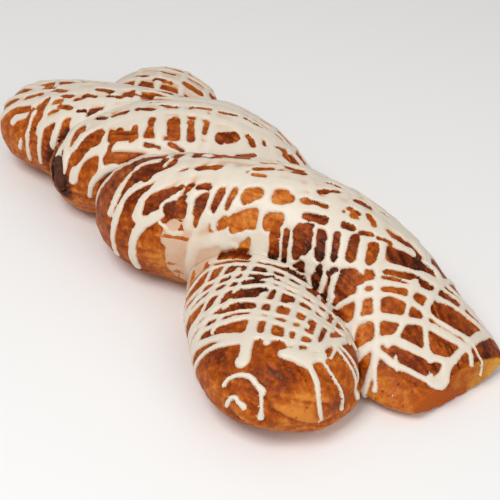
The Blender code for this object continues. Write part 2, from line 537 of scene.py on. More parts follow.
@dataclass(frozen=True)
class PaperFloor:
    """Matt white background paper, with a faint grain of fibres."""

    colour: str = "F4F3F1"
    fibre_mm: float = 1.25

    def material(self) -> bpy.types.Material:
        """Make the material.

        Returns:
            The floor's material.
        """
        made, tree, shader = new_material(
            "matt white paper", Roughness=0.9, Base_Color=linear(self.colour))
        place = add_node(tree, "TexCoord").outputs["Object"]
        fibres = add_node(tree, "TexNoise", Vector=place, Scale=LUMPS / (self.fibre_mm * MM),
                          Detail=2.0)
        bump = add_node(tree, "Bump", Height=fibres, Strength=0.03, Distance=0.1 * MM)
        tree.links.new(bump.outputs[0], shader.inputs["Normal"])
        return made


# ------------------------------------------------------------------------------------- strands


@dataclass
class Reading:
    """What a strand says about some points: how far out they are, and where along and round."""

    depth: np.ndarray
    along: np.ndarray
    angle: np.ndarray


@dataclass
class Strand:
    """One of the two strands of the twist, by its quarter-turn stations.

    A station is the strand's middle (x, y, z), half its width in plan and half its height.
    """

    AT_ONCE = 12000             # points that are read together, which bounds the memory
    SOFTNESS = 2.5              # how far one section blends into the next

    name: str
    stations: tuple[tuple[float, float, float, float, float], ...]
    toe: tuple[float, float, float, float, float] | None = None
    count: int = 90
    sections: np.ndarray = field(init=False)
    lengths: np.ndarray = field(init=False)
    tangents: np.ndarray = field(init=False)

    def __post_init__(self) -> None:
        """Read the sections between the stations."""
        places = np.linspace(0.0, len(self.stations) - 1.0, self.count)
        self.sections = natural_spline(np.array(self.stations), places)
        steps = np.diff(self.sections[:, :3], axis=0)
        self.lengths = np.r_[0.0, np.cumsum(np.linalg.norm(steps, axis=1))]
        tangents = np.gradient(self.sections[:, :3], axis=0)
        self.tangents = tangents / np.linalg.norm(tangents, axis=1)[:, None]

    def balls(self) -> list[np.ndarray]:
        """The rounded sections that the strand is swept from, with its toe."""
        return [*self.sections, *([np.array(self.toe)] if self.toe else [])]

    def read(self, points: np.ndarray) -> Reading:
        """Tell how far out some points lie, and where along and round the strand.

        Args:
            points: places, one a row.

        Returns:
            The distance from the strand's skin, the way along it, and the angle from its top.
        """
        parts = [self.read_some(points[i:i + self.AT_ONCE])
                 for i in range(0, len(points), self.AT_ONCE)]
        return Reading(*(np.concatenate(column) for column in zip(*parts)))

    def read_some(self, points: np.ndarray) -> tuple[np.ndarray, np.ndarray, np.ndarray]:
        """Do what read does, for a few thousand points at once.

        Args:
            points: places, one a row.

        Returns:
            The distance from the skin, the way along the strand and the angle from its top.
        """
        half_sizes = self.sections[:, [3, 3, 4]]
        away = points[:, None, :] - self.sections[None, :, :3]
        reach = np.linalg.norm(away / half_sizes, axis=2)
        depth = np.linalg.norm(away, axis=2) * (1.0 - 1.0 / np.maximum(reach, 0.05))
        nearest = depth.min(axis=1)
        weights = np.exp((nearest[:, None] - depth) / self.SOFTNESS)
        weights /= weights.sum(axis=1)[:, None]
        along = weights @ self.lengths
        middle = points - weights @ self.sections[:, :3]
        tangent = weights @ self.tangents
        side = np.stack([-tangent[:, 1], tangent[:, 0], np.zeros(len(points))], axis=1)
        side /= np.linalg.norm(side, axis=1)[:, None] + 1e-9
        angle = np.arctan2((middle * side).sum(axis=1), middle[:, 2])
        return nearest, along, angle


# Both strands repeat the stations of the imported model's dough.
STRANDS = (
    Strand("a", (
        (-122.0, -41.0, 22.0, 28.0, 22.0),
        (-75.0, -12.0, 26.0, 32.0, 28.0),
        (-43.0, 26.0, 20.0, 26.0, 22.0),
        (-29.0, 3.0, 14.0, 32.0, 20.0),
        (-5.0, -27.0, 27.0, 31.0, 28.0),
        (52.0, 20.0, 29.0, 30.0, 32.0),
        (121.0, 34.0, 7.0, 36.0, 9.0),
    )),
    Strand("b", (
        (-106.0, 16.0, 20.0, 34.0, 24.0),
        (-88.0, 0.0, 8.0, 28.0, 18.0),
        (-69.0, -29.0, 22.0, 32.0, 24.0),
        (-35.0, 14.0, 31.0, 32.0, 26.0),
        (12.0, 26.0, 13.0, 24.0, 22.0),
        (47.0, -4.0, 12.0, 33.0, 24.0),
        (108.0, -31.0, 18.0, 34.0, 20.0),
    ), toe=(113.0, -25.0, 10.0, 28.0, 12.0)),
)


@dataclass
class Cut:
    """The straight knife cut through strand A's near end."""

    offset: float = 149.5
    turn: float = math.radians(9.0)

    def facing(self) -> np.ndarray:
        """The way that the cut face looks."""
        return np.array([math.cos(self.turn), math.sin(self.turn), 0.0])

    def beyond(self, points: np.ndarray) -> np.ndarray:
        """How far points lie beyond the cut."""
        return points @ self.facing() - self.offset


@dataclass
class Split:
    """The slit in strand B's side, where the filling shows: a lens-shaped hole."""

    mouth: tuple[float, float, float] = (-64.0, -60.0, 27.0)
    run: tuple[float, float, float] = (-0.57, 0.0, 0.82)
    half_width: float = 5.4
    half_length: float = 9.5
    depth: float = 3.4
    side_y: float = -40.0

    def beside(self, points: np.ndarray) -> np.ndarray:
        """Tell which points are on the loaf's side that the slit is in."""
        return points[:, 1] < self.side_y

    def inside(self, points: np.ndarray) -> np.ndarray:
        """Tell how far out points lie from the slit's middle line.

        Args:
            points: places, one a row.

        Returns:
            0 on the line and 1 at the slit's edge, one value for each place.
        """
        away = points - np.array(self.mouth)
        along = away @ np.array(self.run)
        across = away @ np.cross(self.run, (0.0, 1.0, 0.0))
        return np.sqrt((along / self.half_length) ** 2 + (across / self.half_width) ** 2)


@dataclass
class Fold:
    """An edge of a dough layer: a step along a line on the skin, which fades away behind it.

    The skin stands high on the left of the line, as seen from outside and from its start.
    """

    SPOTS = 40                  # how many places the line is read at
    END_SHARE = 0.25            # the share of the line over which each end fades
    REACH = 1.5                 # where the fold ends, in its own reaches
    GROOVE = 0.35               # the depth of the groove at its foot, over its height

    points: tuple[tuple[float, float, float], ...]
    height: float
    reach: float

    def relief(self, points: np.ndarray, normals: np.ndarray) -> np.ndarray:
        """Tell how far the fold lifts the skin.

        Args:
            points: places on the skin.
            normals: the skin's normals there.

        Returns:
            The lift at each place.
        """
        line = natural_spline(np.array(self.points),
                              np.linspace(0.0, len(self.points) - 1.0, self.SPOTS))
        limit = self.reach * self.REACH
        near = np.flatnonzero((np.abs(points - line.mean(axis=0)) <
                               np.ptp(line, axis=0) / 2.0 + limit).all(axis=1))
        away = points[near][:, None, :] - line[None]
        far = np.linalg.norm(away, axis=2)
        i = far.argmin(axis=1)
        rows = np.arange(len(near))
        tangent = np.gradient(line, axis=0)
        tangent /= np.linalg.norm(tangent, axis=1)[:, None]
        left = np.cross(normals[near], tangent[i])
        side = (away[rows, i] * left).sum(axis=1)
        ends = np.minimum(i, len(line) - 1 - i) / (len(line) - 1)
        fade = ramp(0.0, self.END_SHARE, ends) * ramp(limit, 0.0, far[rows, i])
        high = ramp(-0.5, 0.7, side) * np.exp(-np.maximum(side, 0.0) / self.reach)
        low = -self.GROOVE * np.exp(-np.abs(side + 0.6) / 0.8)
        lift = np.zeros(len(points))
        lift[near] = self.height * fade * (high + low)
        return lift


@dataclass(frozen=True)
class Tone:
    """A place where the crust is darker, or paler if the amount is below 0."""

    place: tuple[float, float, float]
    reach: float
    amount: float


@dataclass(frozen=True)
class BakingAndPaintedLight:
    """Browning and painted light, from 0 to 1: what it starts from, and what each cause adds."""

    start: float = 0.38
    top: float = 0.12
    drift: Form = Form(0.20, (26.0,))
    # painted shade in the crease of the seam between the strands
    seam: float = 0.42
    seam_shade_width: float = 2.2
    # painted shade in the hollows of the skin and painted highlight on its raised bits
    pits: float = 0.6
    hollow_light_limits: tuple[float, float] = (-0.30, 0.45)
    foot: float = -0.18
    foot_heights: tuple[float, float] = (9.0, 2.0)
    rim: float = 0.45
    rim_width: float = 2.5
    # darker crust round the slit: partly its own colour, partly painted shade of the slit
    slit: float = 0.9


class Dough:
    """Both strands, baked into one loaf."""

    BALL_SIDES = 48
    BALL_RINGS = 24
    SWEPT_MM = 1.1              # edge length of the first skin, before it is flattened
    ROUND_MM = 27.0             # turns an angle round a strand into a length
    APART_MM = 100.0            # keeps strand B's noise apart from strand A's
    END_MM = (4.0, 26.0)        # over this way from a rounded end the streaks become even
    SEAM_MM = 1.6               # how wide the seam's crease is
    CREASE = 1.5                # how deep it is pinched
    LIP = 0.9                   # how high the slit's lip stands
    BITS = Form(0.35, (2.2,))   # torn bits on the cut face

    lumps = Form(0.75, (24.0,))
    dents = Form(0.45, (9.0,))
    # these follow the strand: along it, round it and from strand to strand
    wrinkles = Form(0.30, (17.0, 3.4, 1.0))
    ripples = Form(0.20, (9.0, 1.7, 1.0))
    bends = Form(2.0, (14.0,))  # how far the wrinkles wander round the strand
    # ledges of thin dough layers: how many lie in a slope, and the slopes' sizes
    long_slopes = Form(2.6, (46.0, 10.0, 1.0))
    end_slopes = Form(1.9, (19.0,))
    ledge_height = 0.40
    bubbles = Form(1.0, (3.0,))
    small_bubbles = Form(0.5, (1.9,))
    blister_height = 0.45
    pit_depth = 0.40
    baking_and_light_causes = BakingAndPaintedLight()

    folds = (
        Fold(((131.0, -51.0, 25.0), (136.0, -45.0, 21.0), (140.0, -37.0, 16.0),
              (142.0, -29.0, 13.0), (141.0, -20.0, 12.0)), 1.9, 8.0),
        Fold(((131.0, -49.0, 27.0), (136.0, -41.0, 26.0), (140.0, -31.0, 23.0),
              (141.0, -22.0, 19.0)), 1.0, 5.0),
        Fold(((122.0, -61.0, 19.0), (130.0, -56.0, 14.0), (137.0, -46.0, 9.0),
              (142.0, -34.0, 6.0)), 1.3, 7.0),
        Fold(((106.0, -60.0, 26.0), (114.0, -57.0, 28.0), (122.0, -51.0, 29.0),
              (130.0, -46.0, 28.0)), 0.8, 5.0),
        Fold(((112.0, -46.0, 35.0), (119.0, -44.0, 33.0), (125.0, -42.0, 31.0),
              (131.0, -38.0, 29.0)), 0.8, 5.0),
    )
    tones = (
        Tone((76.0, -12.0, 40.0), 26.0, 0.30),
        Tone((82.0, 14.0, 44.0), 18.0, 0.22),
        Tone((98.0, 42.0, 34.0), 14.0, 0.18),
        Tone((137.0, -40.0, 21.0), 9.0, -0.34),
        Tone((129.0, -38.0, 29.0), 6.0, 0.26),
        Tone((140.0, -22.0, 18.0), 6.0, 0.30),
        Tone((112.0, -56.0, 26.0), 14.0, -0.10),
        Tone((48.0, -10.0, 56.0), 20.0, -0.22),
        Tone((66.0, 12.0, 58.0), 16.0, -0.20),
        Tone((-60.0, -52.0, 26.0), 20.0, -0.20),
        Tone((-36.0, -8.0, 52.0), 16.0, -0.18),
        Tone((-18.0, 8.0, 50.0), 9.0, 0.24),
        Tone((22.0, -46.0, 26.0), 20.0, -0.14),
        Tone((52.0, -22.0, 42.0), 10.0, -0.22),
        Tone((-8.0, -34.0, 44.0), 16.0, 0.16),
        Tone((142.0, 10.0, 8.0), 16.0, -0.14),
        Tone((112.0, 8.0, 22.0), 12.0, -0.14),
    )

    def __init__(self, cut: Cut, split: Split) -> None:
        """Note the cut and the slit.

        Args:
            cut: the knife cut.
            split: the slit in strand B.
        """
        self.cut = cut
        self.split = split
        self.grains = [Grain(seed) for seed in range(6)]

    def body(self, voxel: float) -> bpy.types.Mesh:
        """Sweep both strands, fuse them and flatten them on the tray and at the cut.

        Args:
            voxel: edge length of the skin.

        Returns:
            The plain loaf, without its relief.
        """
        ball_bm = bmesh.new()
        bmesh.ops.create_uvsphere(ball_bm, u_segments=self.BALL_SIDES,
                                  v_segments=self.BALL_RINGS, radius=MM)
        ball = bpy.data.meshes.new("ball")
        ball_bm.to_mesh(ball)
        ball_bm.free()
        bm = bmesh.new()
        for strand in STRANDS:
            for x, y, z, width, height in strand.balls():
                section = ball.copy()
                section.transform(Matrix.Translation(Vector((x, y, z)) * MM)
                                  @ Matrix.Diagonal((width, width, height, 1.0)))
                bm.from_mesh(section)
                bpy.data.meshes.remove(section)
        bpy.data.meshes.remove(ball)
        mesh = bpy.data.meshes.new("strands")
        bm.to_mesh(mesh)
        bm.free()
        mesh = remeshed(mesh, self.SWEPT_MM, 2)
        points = points_of(mesh)
        points[:, 2] = np.maximum(points[:, 2], 0.0)
        points -= np.maximum(self.cut.beyond(points), 0.0)[:, None] * self.cut.facing()
        move_points(mesh, points)
        return remeshed(mesh, voxel, 2)

    def read(self, points: np.ndarray) -> tuple[np.ndarray, np.ndarray]:
        """Tell where points lie on their strand.

        Args:
            points: places on the skin.

        Returns:
            The way along the strand, the way round it and a length that is 0 on strand A and
            APART_MM on strand B, one row for each point, and the distance from the seam with
            the other strand.
        """
        a, b = (strand.read(points) for strand in STRANDS)
        first = a.depth < b.depth
        flow = np.stack([np.where(first, a.along, b.along),
                         np.where(first, a.angle, b.angle) * self.ROUND_MM,
                         np.where(first, 0.0, self.APART_MM)], axis=1)
        return flow, np.abs(a.depth - b.depth)

    def on_b(self, flow: np.ndarray) -> np.ndarray:
        """Tell which points lie on strand B."""
        return flow[:, 2] > self.APART_MM / 2.0

    def relief(self, points: np.ndarray, normals: np.ndarray, flow: np.ndarray,
               seam: np.ndarray, crease: float) -> tuple[np.ndarray, np.ndarray]:
        """Tell how far the baked skin stands out from the plain loaf.

        Args:
            points: places on the skin.
            normals: the skin's normals there.
            flow: where they lie on their strand.
            seam: how far they are from the seam.
            crease: how deep the seam is pinched.

        Returns:
            The broad forms' height and the fine forms' height at each place.
        """
        lump, dent, wrinkle, ripple, blister, _ = self.grains
        broad = self.lumps.lift(lump, points) + self.dents.lift(dent, points)
        broad -= crease * np.exp(-(seam / self.SEAM_MM) ** 2)

        even = self.even(flow)
        bent = flow + self.bends.lift(lump, points)[:, None] * (0.0, 1.0, 0.0)
        ridges = 1.0 - 2.0 * np.abs(wrinkle(bent, *self.wrinkles.sizes))
        fine = even * (self.wrinkles.height * ridges + self.ripples.lift(ripple, bent))
        # thin layers of dough end in ledges that follow the strand, or wind about at its ends
        layers = even * self.long_slopes.lift(wrinkle, bent)
        layers += (1.0 - even) * self.end_slopes.lift(dent, points)
        fine += self.ledge_height * (layers - np.floor(layers) - 0.5)
        # blisters stand where the bubbles are highest, and pits lie where they are lowest
        bubbles = self.bubbles.lift(blister, points) + self.small_bubbles.lift(dent, points)
        fine += self.blister_height * np.maximum(bubbles - 0.35, 0.0)
        fine -= self.pit_depth * np.maximum(-bubbles - 0.55, 0.0)
        for fold in self.folds:
            fine += fold.relief(points, normals)
        fine *= 0.4 + 0.6 * ramp(0.0, 4.0, -self.cut.beyond(points))

        # the slit has a raised lip, and the tray and the knife left their faces plain
        hole, beside = self.split.inside(points), self.split.beside(points)
        broad += np.where(beside, self.LIP * np.exp(-((hole - 1.25) / 0.30) ** 2), 0.0)
        free = ramp(0.3, 3.0, points[:, 2]) * (1.0 - self.cut_mask(points))
        broad = free * broad - np.where(beside, self.split.depth * ramp(1.05, 0.75, hole), 0.0)
        return broad, free * fine

    def even(self, flow: np.ndarray) -> np.ndarray:
        """Tell where a strand's streaks run evenly: 1 along it, 0 at its rounded ends."""
        far_end = ramp(*self.END_MM, flow[:, 0])
        near_end = ramp(*self.END_MM, STRANDS[1].lengths[-1] - flow[:, 0])
        return np.where(self.on_b(flow), near_end, 1.0) * far_end

    def cut_mask(self, points: np.ndarray) -> np.ndarray:
        """Mark the knife cut's face with 1."""
        return ramp(-1.1, -0.3, self.cut.beyond(points))

    def baking_and_painted_light(self, points: np.ndarray, normals: np.ndarray, seam: np.ndarray,
              pits: np.ndarray) -> np.ndarray:
        """Tell how dark the crust is painted: its browning, with painted shade and painted
        highlight.

        Args:
            points: places on the skin.
            normals: the skin's normals there.
            seam: how far they are from the seam.
            pits: how far the skin lies below what is round it.

        Returns:
            The darkness at each place, from 0 to 1.
        """
        drift, cause = self.grains[5], self.baking_and_light_causes
        baking_and_painted_light = cause.start + cause.top * ramp(0.1, 0.9, normals[:, 2])
        baking_and_painted_light += cause.drift.lift(drift, points)
        # painted shade along the seam's crease
        baking_and_painted_light += cause.seam * np.exp(-(seam / cause.seam_shade_width) ** 2)
        # painted shade where the skin lies low, and painted highlight where it stands up
        baking_and_painted_light += cause.pits * np.clip(pits, *cause.hollow_light_limits)
        for tone in self.tones:
            far = np.linalg.norm(points - tone.place, axis=1)
            baking_and_painted_light += tone.amount * np.exp(-(far / tone.reach) ** 2)
        baking_and_painted_light += cause.foot * ramp(*cause.foot_heights, points[:, 2])
        rim = np.exp(self.cut.beyond(points) / cause.rim_width)
        baking_and_painted_light += cause.rim * rim * (0.5 + drift(points, 5.0))
        # round the slit: darker crust, and painted shade of the slit
        baking_and_painted_light += cause.slit * np.where(self.split.beside(points),
                                       ramp(1.7, 1.0, self.split.inside(points)), 0.0)
        return np.clip(baking_and_painted_light, 0.0, 1.0)

    def build(self, voxel: float = 1.12) -> bpy.types.Object:
        """Make the dough with its relief, and keep what its material reads.

        Args:
            voxel: edge length of its skin.

        Returns:
            The dough.
        """
        mesh = self.body(voxel)
        points, normals = points_of(mesh), normals_of(mesh)
        flow, seam = self.read(points)
        broad, fine = self.relief(points, normals, flow, seam, self.CREASE)
        height = broad + fine
        mask = self.cut_mask(points)
        bits = self.BITS.lift(self.grains[4], points)
        pushed = points + normals * height[:, None]
        pushed += (mask * bits)[:, None] * self.cut.facing()
        move_points(mesh, pushed)
        store(mesh, "flow", flow * MM)
        store(mesh, "baking_and_painted_light", self.baking_and_painted_light(points, normals, seam, spread(mesh, fine, 4) - fine))
        store(mesh, "even", self.even(flow))
        store(mesh, "cut", mask)
        mesh.shade_smooth()
        return new_object("dough_crust", mesh)


# --------------------------------------------------------------------------------------- icing


@dataclass(frozen=True)
class Stroke:
    """One squeezed line of icing.

    It has half its width, the places that it passes in plan, and how far its start and its end
    run on down the side.
    """

    radius: float
    places: tuple[tuple[float, float], ...]
    runs: tuple[int, int] = (0, 0)
    height: float = 1.3
    bulb: float = 0.0


@dataclass(frozen=True)
class Gap:
    """A bare patch among the strokes.

    It has the places in plan that it runs from and to, and half its width.
    """

    ROUGH = 0.45                # how far its edge wanders
    ROUGH_SIZE = 2.4            # how long each wander is
    FADE = (-0.6, 1.0)          # the icing comes back between these distances from its edge

    start: tuple[float, float]
    end: tuple[float, float]
    half_width: float

    def share(self, points: np.ndarray, wobble: Grain) -> tuple[np.ndarray, np.ndarray]:
        """Tell how much icing the patch leaves.

        Args:
            points: places on the skin.
            wobble: noise that makes its edge uneven.

        Returns:
            Which points are near it, and the share of icing left at each of them.
        """
        start, end = np.array(self.start, float), np.array(self.end, float)
        reach = self.half_width + self.FADE[1] + self.ROUGH
        low, high = np.minimum(start, end) - reach, np.maximum(start, end) + reach
        flat = points[:, :2]
        near = np.flatnonzero(((flat > low) & (flat < high)).all(axis=1))
        way, away = end - start, flat[near] - start
        place = np.clip(away @ way / (way @ way + 1e-9), 0.0, 1.0)
        far = np.linalg.norm(away - place[:, None] * way, axis=1)
        far += self.ROUGH * wobble(points[near], self.ROUGH_SIZE)
        return near, ramp(*self.FADE, far - self.half_width)


@dataclass
class Line:
    """One squeezed line of icing that lies on the loaf."""

    points: np.ndarray
    radii: np.ndarray
    height: float


class Icing:
    """Sugar icing drizzled over the loaf: crossing lines, and sheets where they ran together."""

    REACH = 1.6                 # how far a line's field reaches, in its own radii
    EDGE = 0.372                # the field's value at a line's edge
    FAINT = 0.07                # the least value that is kept, beyond the edge
    BY_EDGE = (0.08, 0.85)      # the values between which a point may slide to the edge
    SPAN = 10                   # bits of a line whose field is worked out together
    DROP = 120.0                # the height that the icing falls from
    MISSED = 2.0                # what falls lower than this missed the loaf
    FOOT = 2.5                  # the height where a run stops
    TURN = 0.30                 # how soon a run turns straight down
    CREASE = 0.3                # how deep it sinks into the seam
    WALL = 0.7                  # how far its lower side lies inside the crust

    def __init__(self, dough: Dough, loaf: bpy.types.Object) -> None:
        """Get ready to lay lines on the loaf.

        Args:
            dough: the dough's shape.
            loaf: its finished skin.
        """
        self.dough = dough
        bm = bmesh.new()
        bm.from_mesh(loaf.data)
        self.tree = BVHTree.FromBMesh(bm)
        bm.free()
        self.rng = np.random.default_rng(41)
        self.wobble = Grain(51)
        self.lines: list[Line] = []

    def fall(self, x: float, y: float) -> tuple[Vector, Vector] | None:
        """Drop icing at a place in plan, and tell where it lands and the skin's normal."""
        hit, normal, _, _ = self.tree.ray_cast(Vector((x, y, self.DROP)) * MM,
                                               Vector((0, 0, -1)))
        return None if hit is None or hit.z < self.MISSED * MM else (hit / MM, normal)

    def creep(self, start: Vector, heading: Vector, length: int) -> list[Vector]:
        """Let icing run down over the skin.

        Args:
            start: where it starts, on the skin.
            heading: the way that it moves at first.
            length: how far it runs.

        Returns:
            The places that it passes, a millimetre apart.
        """
        place, path = start.copy(), []
        for _ in range(length):
            near, normal, _, _ = self.tree.find_nearest((place + heading) * MM)
            if near is None or near.z < self.FOOT * MM:
                break
            place = near / MM
            path.append(place.copy())
            down = Vector((0.0, 0.0, -1.0))
            down = down - normal * down.dot(normal)
            heading = heading - normal * heading.dot(normal)
            if heading.length < 1e-3 or down.length < 1e-3:
                break
            heading = (heading.normalized() * (1.0 - self.TURN) + down * self.TURN).normalized()
        return path

    def lay(self, path: list[Vector], stroke: Stroke) -> None:
        """Keep a line of icing, with an uneven width.

        Args:
            path: places on the skin.
            stroke: the stroke that it belongs to.
        """
        points = np.array(path)
        lengths = np.r_[0.0, np.cumsum(np.linalg.norm(np.diff(points, axis=0), axis=1))]
        # its width swells and shrinks along it, and a bulb of icing may end it after a neck
        phase, other = self.rng.uniform(0.0, 2.0 * math.pi, 2)
        swell = 1.0 + 0.11 * np.sin(lengths / 4.1 + phase) + 0.09 * np.sin(lengths / 9.7 + other)
        left = lengths[-1] - lengths
        swell *= 1.0 - 0.35 * stroke.bulb * np.exp(-((left - 5.0) / 3.0) ** 2)
        swell += stroke.bulb * np.exp(-(left / 1.8) ** 2)
        self.lines.append(Line(points, stroke.radius * swell, stroke.height))

    def squeeze(self, stroke: Stroke) -> None:
        """Drop one stroke on the loaf, and let its ends run down.

        Args:
            stroke: the stroke.
        """
        knots = np.array(stroke.places, float)
        length = np.linalg.norm(np.diff(knots, axis=0), axis=1).sum()
        spots = natural_spline(knots, np.linspace(0.0, len(knots) - 1.0, int(length) + 2))
        track = [landed[0] for landed in (self.fall(x, y) for x, y in spots) if landed]
        if len(track) < 3:
            return
        ends = []
        for end, before, run in ((track[0], track[2], stroke.runs[0]),
                                 (track[-1], track[-3], stroke.runs[1])):
            ends.append(self.creep(end, (end - before).normalized(), run))
        self.lay(ends[0][::-1] + track + ends[1], stroke)

    def field(self, points: np.ndarray) -> tuple[np.ndarray, np.ndarray]:
        """Add up the fields of all lines.

        Args:
            points: places on the skin.

        Returns:
            The field, and the height that the lines give there.
        """
        total = np.zeros(len(points))
        raised = np.zeros(len(points))
        for line in self.lines:
            own = np.zeros(len(points))
            for first in range(0, len(line.points) - 1, self.SPAN):
                knots = line.points[first:first + self.SPAN + 1]
                radii = line.radii[first:first + self.SPAN + 1]
                reach = radii.max() * self.REACH
                low, high = knots.min(axis=0) - reach, knots.max(axis=0) + reach
                near = np.flatnonzero(((points > low) & (points < high)).all(axis=1))
                if not len(near):
                    continue
                starts, ways = knots[:-1], np.diff(knots, axis=0)
                lengths = (ways ** 2).sum(axis=1) + 1e-9
                away = points[near][:, None, :] - starts
                share = np.clip((away * ways).sum(axis=2) / lengths, 0.0, 1.0)
                far = np.linalg.norm(away - share[..., None] * ways, axis=2)
                wide = radii[:-1] + share * np.diff(radii)
                part = np.clip(1.0 - (far / (wide * self.REACH)) ** 2, 0.0, 1.0) ** 2
                own[near] = np.maximum(own[near], part.max(axis=1))
            total += own
            raised += own * line.height
        raised /= np.maximum(total, 1e-6)
        for gap in GAPS:
            near, left = gap.share(points, self.wobble)
            total[near] *= left
        return total, raised

    def snapped(self, points: np.ndarray, normals: np.ndarray, voxel: float) -> np.ndarray:
        """Slide the points that are close to a line's edge on to it, so that the edge is smooth.

        Args:
            points: places on the skin.
            normals: the skin's normals there.
            voxel: edge length of the skin.

        Returns:
            The places, some of them moved by less than half an edge.
        """
        total = self.field(points)[0]
        low, high = self.BY_EDGE
        close = np.flatnonzero((total > low) & (total < high))
        spots, step = points[close], 0.08
        slope = np.zeros_like(spots)
        for axis in np.eye(3) * step:
            slope += (self.field(spots + axis)[0] - total[close])[:, None] * axis / step ** 2
        slope -= (slope * normals[close]).sum(axis=1)[:, None] * normals[close]
        steep = np.linalg.norm(slope, axis=1) + 1e-6
        far = (total[close] - self.EDGE) / steep
        slid = points.copy()
        near = np.abs(far) < 0.5 * voxel
        slid[close[near]] -= (far / steep)[near, None] * slope[near]
        return slid

    def build(self, voxel: float = 0.69) -> list[bpy.types.Object]:
        """Lay all lines and flow them into one sheet of icing for each strand.

        Args:
            voxel: edge length of its skin.

        Returns:
            The icing's pieces.
        """
        for stroke in chain.from_iterable(STROKES.values()):
            self.squeeze(stroke)
        mesh = self.dough.body(voxel)
        points, normals = points_of(mesh), normals_of(mesh)
        points = self.snapped(points, normals, voxel)
        total, raised = self.field(points)
        kept = total > self.FAINT
        flow, seam = np.zeros((len(points), 3)), np.zeros(len(points))
        flow[kept], seam[kept] = self.dough.read(points[kept])
        base = np.zeros(len(points))
        broad, fine = self.dough.relief(points[kept], normals[kept], flow[kept], seam[kept],
                                        self.CREASE)
        # away from its edges the icing hides the fine forms below it
        base[kept] = broad + fine * (1.0 - 0.9 * ramp(self.EDGE, 0.8, total[kept]))
        # a line is round at its edge, and beyond the edge its skin dips into the crust
        over = np.sqrt(np.clip(1.0 - self.EDGE / np.maximum(total, 1e-6), 0.0, 1.0))
        under = np.sqrt(np.clip(1.0 - total / self.EDGE, 0.0, 1.0))
        thickness = raised * (over - 0.55 * under)
        move_points(mesh, points + normals * (base + thickness)[:, None])
        store(mesh, "thickness", np.maximum(thickness, 0.0))
        mesh.shade_smooth()
        owner = np.where(kept, self.dough.on_b(flow).astype(int), -1)
        return [self.shell(mesh, owner, number) for number in range(len(STRANDS))]

    def shell(self, mesh: bpy.types.Mesh, owner: np.ndarray, number: int) -> bpy.types.Object:
        """Cut one strand's icing out of the skin and give it a lower side.

        Args:
            mesh: the whole skin.
            owner: each vertex's strand, or -1 where it is bare.
            number: the strand.

        Returns:
            That strand's icing.
        """
        bm = bmesh.new()
        bm.from_mesh(mesh)
        others = [face for face in bm.faces if owner[face.verts[0].index] != number
                  or any(owner[vert.index] < 0 for vert in face.verts)]
        bmesh.ops.delete(bm, geom=others, context="FACES")
        part = bpy.data.meshes.new("icing")
        bm.to_mesh(part)
        bm.free()
        icing = new_object("icing_" + STRANDS[number].name, part)
        shell = icing.modifiers.new("shell", "SOLIDIFY")
        shell.thickness = self.WALL * MM
        shell.offset = -1.0
        return icing


# ------------------------------------------------------------------------------------- strokes


